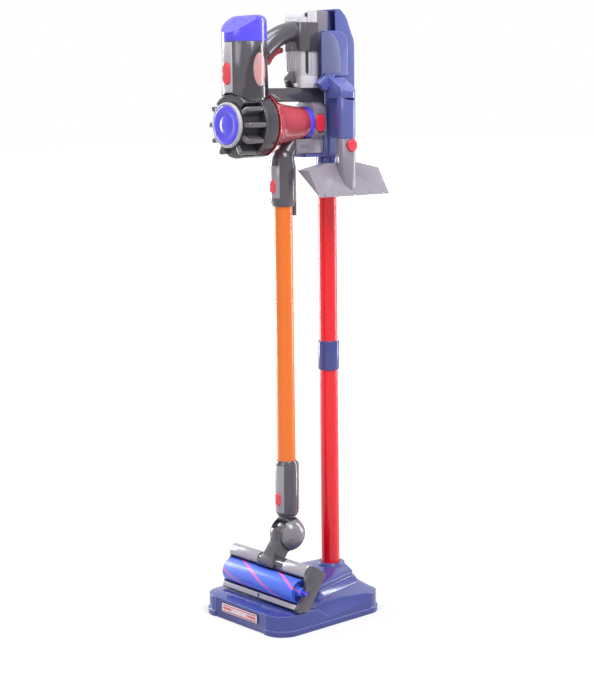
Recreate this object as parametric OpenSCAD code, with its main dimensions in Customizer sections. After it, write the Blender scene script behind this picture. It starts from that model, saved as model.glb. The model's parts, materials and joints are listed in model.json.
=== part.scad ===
// Toy stick vacuum cleaner parked on its storage stand, with a wide hand nozzle in the dock.
// The origin is on the floor under the middle of the base. The front looks along -Y.

/* [Overall] */
// Height of the whole stand, from the floor to the top of the dock
stand_h = 805; // [780:1:830]
// Usual wall of the moulded shells
wall = 2.2; // [1.8:0.1:2.6]
// Clearance between fixed pieces that seat in each other
seat = 0.05; // [0.03:0.01:0.1]
// Radial clearance of pins and axles that turn
run = 0.06; // [0.03:0.01:0.1]
// Gap between pieces that move past each other
gap = 0.4; // [0.3:0.05:0.6]

/* [Stand base] */
// Width of the base, side to side
base_w = 170; // [160:1:190]
// Depth of the base, front to back
base_d = 190; // [184:1:200]
// Radius of the four corners of the base
base_corner_r = 29; // [22:1:34]
// Height of the flat front deck
deck_h = 27; // [24:1:30]
// Height of the foot flange round the bottom
foot_h = 7; // [4:1:10]
// How far the foot flange stands out
foot_lip = 1.5; // [1:0.1:1.8]
// Rise of each step of the mound
tier_h = 8.6; // [7.5:0.1:9.2]
// Width of the recessed front panel between the corner posts
front_panel_w = 104; // [80:1:112]
// Depth of the front panel below the foot flange
front_panel_depth = 2.2; // [1.9:0.1:2.4]
// Thickness of the plate that closes the base from below
base_plate_t = 2; // [1.5:0.1:3]
// Distance of the four plate screws from the edges of the base
base_screw_inset = 29; // [27:1:32]

/* [Pole] */
// Outer radius of the pole tubes
pole_r = 12.5; // [11:0.1:13.5]
// Wall of the pole tubes
pole_wall = 1.6; // [1.2:0.1:2.2]
// Distance of the pole axis from the back edge of the base
pole_inset = 25; // [24:0.5:27]
// Height of the middle of the coupler
coupler_z = 345; // [250:5:420]
// Length of the coupler
coupler_len = 40; // [30:1:50]
// Outer radius of the coupler
coupler_r = 14.6; // [14.4:0.1:16]
// Outer radius of the ring socket on the mound
ring_r = 19.5; // [18:0.5:22]
// Height of the ring above the mound
ring_h = 2.4; // [1.5:0.1:4]

/* [Dock] */
// Outer width of the dock head
dock_w = 58; // [54:1:60]
// Height of the dock head
dock_head_h = 118; // [112:1:122]
// Reach of the dock head in front of the pole axis
dock_front = 8; // [7:0.5:9]
// Reach of the dock head behind the pole axis
dock_back = 24.5; // [22:0.5:27]
// Width between the two dock arms
arm_gap = 43.6; // [43:0.1:45]
// Thickness of the raised side panels of the arms
arm_panel_t = 2.5; // [1.5:0.1:2.8]
// Height of the raised side panels
arm_h = 58; // [52:1:62]
// Reach of the arms in front of the pole axis
arm_reach = 29.5; // [28:0.5:30]
// Width of the dock post
post_w = 36; // [32:1:38]
// Depth of the dock post
post_d = 34; // [31:0.5:34]
// Height of the dock post
post_h = 103; // [99:1:104]
// Height of the collar under the post
collar_h = 15; // [8:1:18]
// Outer radius of that collar
collar_r = 14.2; // [13.8:0.1:18]

/* [Hand nozzle] */
// Outer radius of the nozzle's tube
tool_r = 12.3; // [11.5:0.1:12.8]
// Distance of the tube's axis to the side of the pole axis
tool_x = 50; // [49:0.5:52]
// Distance of the tube's axis in front of the pole axis
tool_ahead = 11; // [9:0.5:13]
// Length of the tube socket
socket_len = 74; // [66:1:76]
// Width of the nozzle's mouth
nozzle_len = 124; // [110:1:128]
// Depth of the nozzle from its back edge to its lip
nozzle_w = 43; // [40:1:46]
// Depth of the nozzle's top face
nozzle_top_w = 22; // [18:1:24]
// Height of the nozzle
nozzle_h = 34; // [28:1:38]
// Wall of the nozzle
nozzle_wall = 1.8; // [1.4:0.1:2.4]
// Travel of the tube out of its socket
tool_travel = 60; // [40:1:60]

/* [Cleaner body] */
// Depth of the drum axis below the top of the dock
unit_drop = 147; // [146:0.5:149]
// Distance from the pole axis forward to the wand axis
wand_reach = 78; // [77:0.5:79]
// Distance from the pole axis forward to the motor column
column_reach = 139; // [138:0.5:141]
// Radius of the motor column
column_r = 29; // [28:0.5:30]
// Height of the column's top above the drum axis
column_h = 104; // [102:1:106]
// Height of the filter cap
cap_h = 33; // [30:1:34]
// Radius of the drum
drum_r = 40; // [39:0.5:41]
// Radius of the drum over its fins
fin_r = 43; // [42.4:0.1:45]
// Thickness of a fin
fin_t = 3; // [2:0.2:4]
// Angle between fins
fin_step = 22.5; // [18:4.5:22.5]
// Radius of the filter disc
disc_r = 25; // [23:0.5:26]
// Radius of the rim round the filter disc
disc_rim_r = 28.6; // [27.5:0.1:30]
// Radius of the dust bin's flared mouth
flare_r = 41; // [40:0.5:42]
// Radius of the dust bin's narrow end
bin_r = 20.5; // [19.5:0.5:21.5]
// Wall of the dust bin
bin_wall = 1.8; // [1.4:0.1:2.2]
// Width of the grey housing behind the bin
bin_end_w = 40; // [38:1:42]
// Height of the bin's release button
bin_button_h = 23; // [18:0.5:24]

/* [Handle and battery] */
// Width of the battery and of the spine behind it
battery_w = 38; // [36:1:39]
// Depth of the battery
battery_d = 26.5; // [25.5:0.5:27.5]
// Height of the battery
battery_h = 99; // [97:1:100]
// Height of the battery's foot below its seam
battery_foot_h = 16; // [14:1:18]
// Radius of the grip's arch, measured to its middle
arch_r = 97; // [95:1:99]
// Radius of the grip itself
grip_r = 13; // [12:0.5:13.5]
// Width of the lower arm
arm_w = 28; // [24:1:32]
// Height of the lower arm
arm_beam_h = 17.7; // [17:0.1:18]
// Width of the trigger
trigger_w = 8; // [6:0.5:10]

/* [Wand] */
// Outer radius of the wand tube
wand_r = 12.3; // [11.5:0.1:12.5]
// Wall of the wand tube
wand_wall = 1.4; // [1.2:0.1:2]
// Outer radius of the upper collar
collar_upper_r = 17; // [16.5:0.1:17.5]
// Length of the straight part of the upper collar
collar_upper_len = 61; // [56:1:64]
// Outer radius of the lower collar
collar_lower_r = 15.6; // [15.4:0.1:16.5]
// Length of the lower collar
collar_lower_len = 76; // [70:1:80]
// Width of the wand's release buttons
wand_button_w = 10; // [8:0.5:11]
// Height of the wand's release buttons
wand_button_h = 18; // [14:1:20]

/* [Floor head] */
// Length of the floor head, side to side
head_w = 170; // [160:1:174]
// Radius of the brush roller
roller_r = 16; // [15:0.1:16.6]
// Radius of the swivel ball
ball_r = 24; // [23:0.5:24.5]
// Height of the ball's middle above the deck
ball_rise = 82.5; // [81:0.5:84]
// Radius of the rear bar
bar_r = 10; // [9:0.5:10.5]
// Radius of the rear wheels
wheel_r = 5; // [4:0.5:5.5]
// Width of a rear wheel
wheel_w = 11; // [8:0.5:12]

/* [Hidden] */
$fn = 64;
over = 1;

// Places worked out from the sizes above
pole_y = base_d / 2 - pole_inset;
wand_y = pole_y - wand_reach;
column_y = pole_y - column_reach;
unit_z = stand_h - unit_drop;
foot_floor = deck_h - tier_h;
mound_top = foot_floor + 3.9 * tier_h;
ring_top = mound_top + ring_h;
socket_floor = 8;
screw_r = 1.4;
screw_head_r = 2.8;
screw_head_h = 1.2;
screw_boss_r = 4.5;

module along_x(x0, x1) {
  translate([x0, 0, 0]) rotate([90, 0, 90]) linear_extrude(x1 - x0) children();
}

module along_y(y0, y1) {
  translate([0, y1, 0]) rotate([90, 0, 0]) linear_extrude(y1 - y0) children();
}

module about_y(z) {
  translate([0, 0, z]) rotate([-90, 0, 0]) rotate_extrude() children();
}

module rod_x(x0, x1, r) {
  translate([x0, 0, 0]) rotate([0, 90, 0]) cylinder(h = x1 - x0, r = r);
}

module rod_y(y0, y1, r) {
  translate([0, y0, 0]) rotate([-90, 0, 0]) cylinder(h = y1 - y0, r = r);
}

module rounded(w, d, r) {
  square([w - 2 * r, d], center = true);
  square([w, d - 2 * r], center = true);
  for (sx = [-1, 1], sy = [-1, 1]) translate([sx * (w / 2 - r), sy * (d / 2 - r)]) circle(r);
}

module oblong(w, h) {
  square([w, h - w], center = true);
  for (s = [-1, 1]) translate([0, s * (h - w) / 2]) circle(w / 2);
}

module tube(z0, z1, r_out, r_in) {
  translate([0, 0, z0]) difference() {
    cylinder(h = z1 - z0, r = r_out);
    translate([0, 0, -over]) cylinder(h = z1 - z0 + 2 * over, r = r_in);
  }
}

// Stand base

// The mound's tiers from the outside in: half width in front and at the back, reach to the back, corner radius, step number
tier_front_shares = [0.79, 0.765, 0.71, 0.655, 0.35];
tier_half_shares = [0.6, 0.53, 0.46, 0.42, 0.3];
tier_back_shares = [0.93, 0.925, 0.91, 0.9, 0.88];
tier_r_shares = [0.62, 0.5, 0.45, 0.45, 0.45];
tier_step_shares = [1.68, 1.8, 2.45, 3.15, 3.9];
tier_corner_steps = 6;
// Front of the mound seen from the side: distance from the middle and step number
mound_front_shares = [[-0.284, 0.9], [-0.147, 1.45], [-0.063, 2.1], [-0.032, 2.75], [0.01, 3.2], [0.053, 4]];
// Recess along each side: half width and step number at its front end
side_cut_shares = [[0.982, -0.66], [0.882, 0.58], [0.845, 2.1]];
side_cut_front_shares = [-0.3, -0.095];
side_cut_back_share = 0.72;
side_cut_rise = 6;

function step_z(n) = foot_floor + n * tier_h;

module footprint(inset) {
  rounded(base_w - 2 * foot_lip - 2 * inset, base_d - 2 * foot_lip - 2 * inset, base_corner_r - inset);
}

// One tier seen from above, narrower to the back, with round back corners
module tier(i, inset) {
  back = tier_back_shares[i] * base_d / 2 - inset;
  front_x = tier_front_shares[i] * base_w / 2 - inset;
  back_x = tier_half_shares[i] * base_w / 2 - inset;
  r = tier_r_shares[i] * base_corner_r - inset;
  lean = atan2(front_x - back_x, back);
  corner = [back_x - r, back - r];
  arc = [for (k = [0:tier_corner_steps]) let (a = lean + (90 - lean) * k / tier_corner_steps) corner + r * [cos(a), sin(a)]];
  polygon(concat(
    [[-front_x, -base_d / 2], [-front_x, 0]],
    [for (k = [tier_corner_steps:-1:0]) [-arc[tier_corner_steps - k][0], arc[tier_corner_steps - k][1]]],
    [for (k = [tier_corner_steps:-1:0]) arc[k]],
    [[front_x, 0], [front_x, -base_d / 2]]
  ));
}

module mound(inset) {
  front = [for (p = mound_front_shares) [p[0] * base_d / 2 + inset, step_z(p[1]) - inset]];
  intersection() {
    union() {
      hull() {
        translate([0, 0, deck_h - over - inset]) linear_extrude(seat) footprint(inset + seat, $fn = 32);
        translate([0, 0, step_z(tier_step_shares[0]) - inset - seat]) linear_extrude(seat) tier(0, inset);
      }
      for (i = [1, 3]) hull() {
        translate([0, 0, foot_h]) linear_extrude(step_z(tier_step_shares[i]) - inset - foot_h) tier(i, inset);
        translate([0, 0, step_z(tier_step_shares[i + 1]) - inset - seat]) linear_extrude(seat) tier(i + 1, inset);
      }
    }
    along_x(-base_w / 2, base_w / 2) {
      polygon(concat([[front[0][0], foot_h / 2]], front, [[base_d / 2, mound_top], [base_d / 2, foot_h / 2]]));
    }
  }
}

// The side walls are cut back beside the mound, rising to the back
module side_lean(inset) {
  y0 = side_cut_front_shares[0] * base_d / 2 - inset;
  y1 = side_cut_front_shares[1] * base_d / 2 - inset;
  y2 = side_cut_back_share * base_d / 2 + inset;
  z0 = step_z(side_cut_shares[0][1]) - inset;
  for (s = [0, 1]) mirror([s, 0, 0]) intersection() {
    translate([0, y1, z0]) rotate([side_cut_rise, 0, 0]) along_y(-base_d, base_d) {
      polygon([
        [side_cut_shares[0][0] * base_w / 2 - inset, 0], [base_w, 0], [base_w, base_d],
        [side_cut_shares[2][0] * base_w / 2 - inset, base_d],
        for (i = [2, 1]) [side_cut_shares[i][0] * base_w / 2 - inset, step_z(side_cut_shares[i][1]) - inset - z0]
      ]);
    }
    along_x(0, base_w) polygon([[y0, deck_h - inset], [y1, z0 - over], [y2, z0 - over], [y2, base_d], [y0, base_d]]);
  }
}

module base_outer(inset) {
  difference() {
    union() {
      linear_extrude(deck_h - inset) footprint(inset);
      mound(inset);
    }
    side_lean(inset);
  }
}

module screw_spots() {
  for (sx = [-1, 1], sy = [-1, 1]) {
    translate([sx * (base_w / 2 - base_screw_inset), sy * (base_d / 2 - base_screw_inset), 0]) children();
  }
}

module base_shell() color("#5560a8") {
  difference() {
    union() {
      difference() {
        union() {
          base_outer(0);
          linear_extrude(foot_h) rounded(base_w, base_d, base_corner_r);
        }
        translate([0, 0, -over]) linear_extrude(foot_h) footprint(wall);
        difference() {
          base_outer(wall);
          translate([0, 0, base_plate_t + seat]) screw_spots() cylinder(h = 2 * mound_top, r = screw_boss_r);
        }
      }
      translate([0, pole_y, base_plate_t + seat]) cylinder(h = ring_top - base_plate_t - seat, r = ring_r);
    }
    translate([0, pole_y, socket_floor]) cylinder(h = ring_top, r = pole_r + seat);
    translate([0, 0, base_plate_t - over]) screw_spots() cylinder(h = deck_h / 2, r = screw_r + seat);
    along_y(-base_d / 2 - over, -base_d / 2 + front_panel_depth) {
      translate([0, deck_h / 2]) square([front_panel_w, deck_h + 2 * over], center = true);
    }
  }
}

module base_plate() color("#4a5496") {
  difference() {
    linear_extrude(base_plate_t) {
      inset = foot_lip + wall + seat;
      rounded(base_w - 2 * inset, base_d - 2 * inset, base_corner_r - inset + foot_lip);
    }
    translate([0, 0, -over]) screw_spots() {
      cylinder(h = base_plate_t + 2 * over, r = screw_r + seat);
      cylinder(h = over + screw_head_h, r = screw_head_r + seat);
    }
  }
}

module base_screws() color("silver") {
  screw_spots() {
    cylinder(h = screw_head_h, r = screw_head_r);
    cylinder(h = deck_h / 2 - over - seat, r = screw_r);
  }
}

// Pole

coupler_stop_t = 2;
coupler_chamfer = 1.2;
pole_top_drop = 20;
pole_top = stand_h - pole_top_drop;

module pole_lower() color("#f0323e") {
  translate([0, pole_y, 0]) {
    tube(socket_floor + seat, coupler_z - coupler_stop_t / 2 - seat, pole_r, pole_r - pole_wall);
  }
}

module pole_upper() color("#f0323e") {
  translate([0, pole_y, 0]) {
    tube(coupler_z + coupler_stop_t / 2 + seat, pole_top, pole_r, pole_r - pole_wall);
  }
}

module pole_coupler() color("#5560a8") {
  h = coupler_len / 2;
  r_in = pole_r + seat;
  translate([0, pole_y, coupler_z]) rotate_extrude() {
    polygon([
      [r_in, -h], [coupler_r - coupler_chamfer, -h], [coupler_r, coupler_chamfer - h],
      [coupler_r, h - coupler_chamfer], [coupler_r - coupler_chamfer, h], [r_in, h],
      [r_in, coupler_stop_t / 2], [pole_r - pole_wall, coupler_stop_t / 2],
      [pole_r - pole_wall, -coupler_stop_t / 2], [r_in, -coupler_stop_t / 2]
    ]);
  }
}

// Dock

// Back of the dock head from its top down: places behind its front and below its top
dock_back_shares = [
  [0.22, 0], [0.36, 0.03], [0.49, 0.062], [0.6, 0.105], [0.69, 0.16], [0.785, 0.223], [0.88, 0.28], [0.955, 0.318], [1, 0.375]
];
dock_hook_share = 0.9;
dock_front_drop_share = 0.746;
dock_boss_h = 45;
dock_boss_wall = 2.5;
dock_rib_t = 3;
dock_d = dock_front + dock_back;
arm_top_drop = 28;
arm_back = 11;
arm_round_share = 0.42;
jaw_reach = 12;
jaw_drop = 20;
jaw_foot_share = 0.04;
jaw_root_share = 0.45;
flange_t = 5;
post_corner_r = 8;
ledge_w = 24;
ledge_reach = 48;
post_top = stand_h - dock_front_drop_share * dock_head_h - seat;
post_bottom = post_top - post_h;
post_front = pole_y - post_d / 2;
inlet_drop = 39;
inlet_z = unit_z - inlet_drop;

module dock_outline(inset, over_end) {
  polygon(concat(
    [[-over_end, -inset]],
    [for (p = dock_back_shares) [p[0] * dock_d - inset, -p[1] * dock_head_h - inset]],
    [
      [dock_d - inset, -dock_head_h - over_end],
      [over_end > 0 ? -over_end : dock_hook_share * dock_d, -dock_head_h - over_end],
      [-over_end, over_end > 0 ? -dock_head_h : -dock_front_drop_share * dock_head_h]
    ]
  ));
}

module dock_head() color("#5560a8") {
  difference() {
    union() {
      translate([0, pole_y - dock_front, stand_h]) difference() {
        along_x(-dock_w / 2, dock_w / 2) dock_outline(0, 0);
        along_x(wall - dock_w / 2, dock_w / 2 - wall) dock_outline(wall, over);
      }
      intersection() {
        translate([0, pole_y - dock_front, stand_h]) along_x(-dock_w / 2, dock_w / 2) dock_outline(wall / 2, 0);
        union() {
          translate([0, pole_y, stand_h - dock_boss_h]) cylinder(h = dock_boss_h, r = pole_r + dock_boss_wall);
          translate([-dock_rib_t / 2, pole_y + pole_r + seat, stand_h - dock_boss_h]) {
            cube([dock_rib_t, dock_back, dock_boss_h]);
          }
        }
      }
    }
    translate([0, pole_y, stand_h - dock_head_h - over]) {
      cylinder(h = dock_head_h + over - pole_top_drop + seat, r = pole_r + seat);
    }
  }
}

arm_arc_steps = 10;

module arm_outline() {
  l = arm_reach + arm_back;
  r = arm_round_share * l;
  polygon(concat(
    [[0, 0]],
    [for (i = [0:arm_arc_steps]) let (a = 90 - 90 * i / arm_arc_steps) [l - r + r * cos(a), r * sin(a) - r]],
    [
      [l, -arm_h], [jaw_root_share * l, -arm_h - seat], [jaw_foot_share * l, -arm_h - jaw_drop],
      [-jaw_reach, -arm_h - jaw_drop / 2], [0, -arm_h]
    ]
  ));
}

module dock_arm() {
  translate([0, pole_y - arm_reach, stand_h - arm_top_drop]) {
    along_x(dock_w / 2 + seat, dock_w / 2 + arm_panel_t) arm_outline();
    intersection() {
      along_x(arm_gap / 2, dock_w / 2 + arm_panel_t / 2) arm_outline();
      translate([0, -base_d / 2, -base_d]) cube([dock_w, base_d / 2 + arm_reach - dock_front - seat, 2 * base_d]);
    }
  }
}

module dock_arm_right() color("#6670b4") dock_arm();

module dock_arm_left() color("#6670b4") mirror([1, 0, 0]) dock_arm();

module dock_post() color("#4d579e") {
  difference() {
    union() {
      translate([0, pole_y, post_bottom]) linear_extrude(post_h) rounded(post_w, post_d, post_corner_r);
      translate([wall + seat - dock_w / 2, pole_y - dock_front, post_top - flange_t]) {
        cube([dock_w - 2 * wall - 2 * seat, dock_d - wall - seat, flange_t]);
      }
      translate([-ledge_w / 2, pole_y - ledge_reach, post_bottom]) cube([ledge_w, ledge_reach - pole_r, inlet_z - gap - post_bottom]);
    }
    translate([0, pole_y, post_bottom - over]) cylinder(h = post_h + 2 * over, r = pole_r + seat);
  }
}

module dock_collar() color("#4d579e") {
  translate([0, pole_y, 0]) tube(post_bottom - seat - collar_h, post_bottom - seat, collar_r, pole_r + seat);
}

// Hand nozzle and its socket

socket_proud = 0.2;
socket_step = 1.3;
socket_bore = tool_r - socket_step;
socket_roof_drop = 26;
socket_web_t = 6;
socket_drop = 93;
socket_top = stand_h - socket_drop;
tool_y = pole_y - tool_ahead;
tool_top_drop = 33;
tool_top = socket_top - tool_top_drop;
nozzle_drop = 114;
nozzle_top = socket_top - nozzle_drop;
nozzle_side = 26;
nozzle_x = tool_x - nozzle_side;
tool_wall = 1.6;
tool_button_r = 8;
tool_button_rise = 31;
tool_button_z = nozzle_top + tool_button_rise;
tool_button_deep = 3.4;
tool_button_travel = 1.5;
notch_w = 1.6;
notch_len = 7;
notch_deep = 0.8;
notch_shares = [-0.42, -0.21, 0, 0.21, 0.42];
socket_bottom = socket_top - socket_len;

module tool_socket() color("#5560a8") {
  r_out = tool_r + socket_proud;
  x0 = post_w / 2 - post_corner_r;
  difference() {
    union() {
      translate([tool_x, tool_y, socket_bottom]) cylinder(h = socket_len, r = r_out);
      translate([x0, tool_y - socket_web_t / 2, socket_bottom + gap]) {
        cube([tool_x - x0, socket_web_t, socket_len - gap]);
      }
    }
    translate([0, pole_y, socket_bottom]) linear_extrude(socket_len) {
      rounded(post_w + 2 * seat, post_d + 2 * seat, post_corner_r + seat);
    }
    along_y(tool_y - 2 * tool_r, tool_y + 2 * tool_r) {
      polygon([
        [post_w / 2, socket_top], [tool_x + r_out, socket_top - socket_roof_drop],
        [2 * tool_x, socket_top - socket_roof_drop], [2 * tool_x, 2 * socket_top], [post_w / 2, 2 * socket_top]
      ]);
    }
    translate([tool_x, tool_y, socket_bottom - over]) cylinder(h = tool_top + gap - socket_bottom + over, r = socket_bore);
  }
}

// Side view of the nozzle: back edge, ridge and lip
nozzle_back = [nozzle_x, nozzle_top];
nozzle_ridge = [nozzle_x + nozzle_top_w, nozzle_top];
nozzle_lip = [nozzle_x + nozzle_w, nozzle_top - nozzle_h];
nozzle_slope = (nozzle_lip - nozzle_ridge) / norm(nozzle_lip - nozzle_ridge);
nozzle_in = [nozzle_slope[1], -nozzle_slope[0]];

nozzle_roof_h = 8;
nozzle_roof_share = 0.22;
nozzle_roof_in = 5;
nozzle_roof_top = nozzle_top + nozzle_roof_h;

// The nozzle's space, pushed out by grow and run on past its lip
module nozzle_space(grow) {
  ridge_x = nozzle_ridge[0] + (grow - (grow + nozzle_roof_h) * nozzle_slope[0]) / -nozzle_slope[1];
  lip_x = ridge_x + 2 * (nozzle_lip[0] - nozzle_ridge[0]);
  polygon([
    [nozzle_back[0] - nozzle_w, nozzle_roof_top + grow], [ridge_x, nozzle_roof_top + grow],
    [lip_x, nozzle_roof_top + grow - 2 * nozzle_h], [nozzle_back[0] - nozzle_w, nozzle_top - 2 * nozzle_h]
  ]);
}

// Everything under the nozzle's roof, which is highest at the tube
module nozzle_under_roof(inset) {
  flat_y = nozzle_roof_share * nozzle_len;
  along_x(0, 2 * tool_x) polygon([
    [tool_y - nozzle_len, nozzle_top - nozzle_len], [tool_y + nozzle_len, nozzle_top - nozzle_len],
    [tool_y + nozzle_len / 2, nozzle_top - inset], [tool_y + flat_y, nozzle_roof_top - inset],
    [tool_y - flat_y, nozzle_roof_top - inset], [tool_y - nozzle_len / 2, nozzle_top - inset]
  ]);
}

module nozzle_outside() {
  up = nozzle_roof_h / -nozzle_slope[1];
  intersection() {
    along_y(tool_y - nozzle_len / 2, tool_y + nozzle_len / 2) {
      polygon([
        nozzle_back, nozzle_back + [nozzle_roof_in, nozzle_roof_h], nozzle_ridge - up * nozzle_slope, nozzle_lip
      ]);
    }
    nozzle_under_roof(0);
  }
}

module tool_nozzle() color("#b0a6b6") {
  y0 = tool_y - nozzle_len / 2;
  y1 = tool_y + nozzle_len / 2;
  angle = atan2(-nozzle_slope[1], nozzle_slope[0]);
  difference() {
    nozzle_outside();
    intersection() {
      along_y(y0 + nozzle_wall, y1 - nozzle_wall) nozzle_space(-nozzle_wall);
      nozzle_under_roof(nozzle_wall);
    }
    translate([tool_x, tool_y, nozzle_top - nozzle_h]) cylinder(h = 2 * nozzle_h, r = tool_r - tool_wall);
    for (s = notch_shares) {
      translate([nozzle_lip[0], tool_y + s * nozzle_len, nozzle_lip[1]]) rotate([0, angle - 90, 0]) {
        translate([-notch_deep, -notch_w / 2, -over]) cube([2 * notch_deep, notch_w, notch_len]);
      }
    }
  }
}

module tool_tube() color("#8d8592") {
  difference() {
    translate([tool_x, tool_y, 0]) rotate_extrude() {
      r = socket_bore - gap;
      polygon([
        [tool_r - tool_wall, nozzle_top - nozzle_h], [tool_r, nozzle_top - nozzle_h], [tool_r, socket_bottom - gap],
        [r, socket_bottom - gap], [r, tool_top], [r - tool_wall, tool_top], [r - tool_wall, socket_bottom - gap - tool_wall],
        [tool_r - tool_wall, socket_bottom - gap - 2 * tool_wall]
      ]);
    }
    along_y(tool_y - nozzle_len / 2, tool_y + nozzle_len / 2) nozzle_space(seat);
    translate([tool_x, tool_y, tool_button_z]) rod_x(0, 2 * tool_r, tool_button_r + gap);
  }
}

module tool_button() color("#ec2a36") {
  translate([tool_x, tool_y, tool_button_z]) {
    rod_x(tool_r - tool_button_deep, tool_r + tool_button_travel, tool_button_r);
    rod_x(tool_r - 2 * tool_button_deep, tool_r - tool_button_deep, tool_button_r / 2);
  }
}

// Drum, filter disc and dust bin, turned about the drum axis

drum_ahead = 28;
drum_behind = 19;
drum_front = column_y - drum_ahead;
drum_back = column_y + drum_behind;
fin_set_back = 2;
fin_front = drum_front + fin_set_back;
seam_set_back = 27.5;
seam_w = 3.5;
seam_front = drum_front + seam_set_back;
seam_back = seam_front + seam_w;
seam_r = 42.2;
rear_ring_r = 41.5;
rim_lead = 4.5;
rim_front = drum_front - rim_lead;
disc_lead = 5.5;
disc_front = drum_front - disc_lead;
disc_hub_r = 7;
disc_ring_shares = [0.42, 0.72];
disc_ring_w = 1.2;
disc_ring_h = 0.6;
skirt_r = 42.8;
skirt_w = 32;
skirt_set_back = 11;
skirt_front = drum_front + skirt_set_back;
bin_len = 73.5;
bin_back = drum_back + bin_len;
ring_len = 7.5;
ring_lip = 1.3;
flare_start_share = 0.155;
flare_end_share = 0.72;
flare_steps = 16;
core_r = 9;
fin_top_clear = 56;

// Outside of the drum as radius and place along the axis
function drum_outline(grow) = [
  [0, drum_front], [drum_r + grow, drum_front], [drum_r + grow, seam_front - grow],
  [seam_r + grow, seam_front - grow], [seam_r + grow, seam_back + grow], [rear_ring_r + grow, seam_back + grow],
  [rear_ring_r + grow, drum_back + grow], [0, drum_back + grow]
];

function flare_share(t) = let (u = (t - flare_start_share) / (flare_end_share - flare_start_share))
  u <= 0 ? 1 : u >= 1 ? 0 : (1 + cos(180 * u)) / 2;

function bin_curve(grow) = [
  for (i = [0:flare_steps])
    let (t = i / flare_steps)
      [bin_r + grow + (flare_r - bin_r) * flare_share(t), drum_back + seat + (bin_back - drum_back - seat) * t]
];

// Space taken by the bin, with room round it
module bin_space(grow) {
  about_y(unit_z) polygon(concat([[0, drum_back]], bin_curve(grow), [[bin_r + grow, bin_back + ring_len], [0, bin_back + ring_len]]));
}

module cyclone_drum() color("#6f6a75") {
  difference() {
    union() {
      about_y(unit_z) polygon(drum_outline(0));
      intersection() {
        about_y(unit_z) polygon([[0, skirt_front], [skirt_r, skirt_front], [skirt_r, drum_back], [0, drum_back]]);
        translate([-skirt_w / 2, skirt_front, unit_z - fin_r]) cube([skirt_w, drum_back - skirt_front, fin_r]);
      }
      for (a = [0:fin_step:180 - fin_top_clear], s = [-1, 1]) if (a > 0 || s > 0) {
        translate([0, 0, unit_z]) rotate([0, s * a, 0]) {
          translate([-fin_t / 2, fin_front, -fin_r]) cube([fin_t, seam_back - fin_front, fin_r - drum_r + wall]);
        }
      }
    }
    about_y(unit_z) {
      polygon([
        [0, drum_front + wall], [drum_r - wall, drum_front + wall], [drum_r - wall, drum_back + over],
        [0, drum_back + over]
      ]);
    }
    translate([0, 0, unit_z]) rod_y(drum_front - over, drum_front + 2 * wall, disc_hub_r + seat);
  }
}

module filter_rim() color("silver") {
  about_y(unit_z) {
    polygon([
      [disc_r + seat, drum_front - seat], [disc_rim_r, drum_front - seat],
      [disc_rim_r, rim_front + over], [disc_rim_r - over, rim_front], [disc_r + seat, rim_front]
    ]);
  }
}

module filter_disc() color("#4b41fa") {
  about_y(unit_z) {
    polygon([
      [0, disc_front], [disc_r - over, disc_front], [disc_r, disc_front + over],
      [disc_r, drum_front - seat], [disc_hub_r, drum_front - seat], [disc_hub_r, drum_front + wall],
      [0, drum_front + wall]
    ]);
  }
  for (s = disc_ring_shares) about_y(unit_z) {
    translate([s * disc_r, disc_front - disc_ring_h]) square([disc_ring_w, 2 * disc_ring_h]);
  }
}

module dust_bin() color([0.88, 0.2, 0.25, 0.55]) {
  outer = bin_curve(0);
  inner = [for (i = [flare_steps:-1:0]) [outer[i][0] - bin_wall, outer[i][1]]];
  about_y(unit_z) polygon(concat(outer, inner));
}

module bin_core() color("#b06a78") {
  about_y(unit_z) {
    polygon([
      [core_r - bin_wall, drum_front + 2 * wall], [core_r, drum_front + 2 * wall], [core_r, bin_back + ring_len - seat],
      [core_r - bin_wall, bin_back + ring_len - seat]
    ]);
  }
}

module bin_ring() color("#3b3be0") {
  about_y(unit_z) translate([bin_r - bin_wall, bin_back + seat]) {
    square([bin_wall + ring_lip, ring_len - 2 * seat]);
  }
}

// Housing behind the bin, with its button and the inlet below

bin_end_h = 48;
bin_end_drop = 20;
bin_end_z = unit_z - bin_end_drop;
bin_end_len = 21;
bin_end_chamfer = 8;
bin_end_y = bin_back + ring_len;
bin_button_w = 16.5;
bin_button_z = unit_z;
bin_button_out = 1.2;
bin_button_deep = 5;
bin_button_travel = 2;
inlet_w = 26;
inlet_behind = 13;
inlet_front = wand_y + inlet_behind;
inlet_slot_h = 5;
inlet_slot_len = 16;
inlet_slot_deep = 1;

module chamfered(w, h, c) {
  polygon([
    [c - w / 2, 0], [w / 2 - c, 0], [w / 2, c], [w / 2, h - c], [w / 2 - c, h],
    [c - w / 2, h], [-w / 2, h - c], [-w / 2, c]
  ]);
}

module bin_button_shape(x0, x1, grow) {
  translate([0, bin_end_y + bin_end_len / 2, bin_button_z]) {
    along_x(x0, x1) oblong(bin_button_w + 2 * grow, bin_button_h + 2 * grow);
  }
}

module bin_end() color("#8e8c92") {
  difference() {
    translate([0, 0, bin_end_z]) along_y(bin_end_y, bin_end_y + bin_end_len) {
      chamfered(bin_end_w, bin_end_h, bin_end_chamfer);
    }
    bin_button_shape(bin_end_w / 2 - bin_button_deep - bin_button_travel, bin_end_w, gap);
  }
}

module bin_button() color("#d41f30") {
  bin_button_shape(bin_end_w / 2 - bin_button_deep, bin_end_w / 2 + bin_button_out, 0);
}

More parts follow.
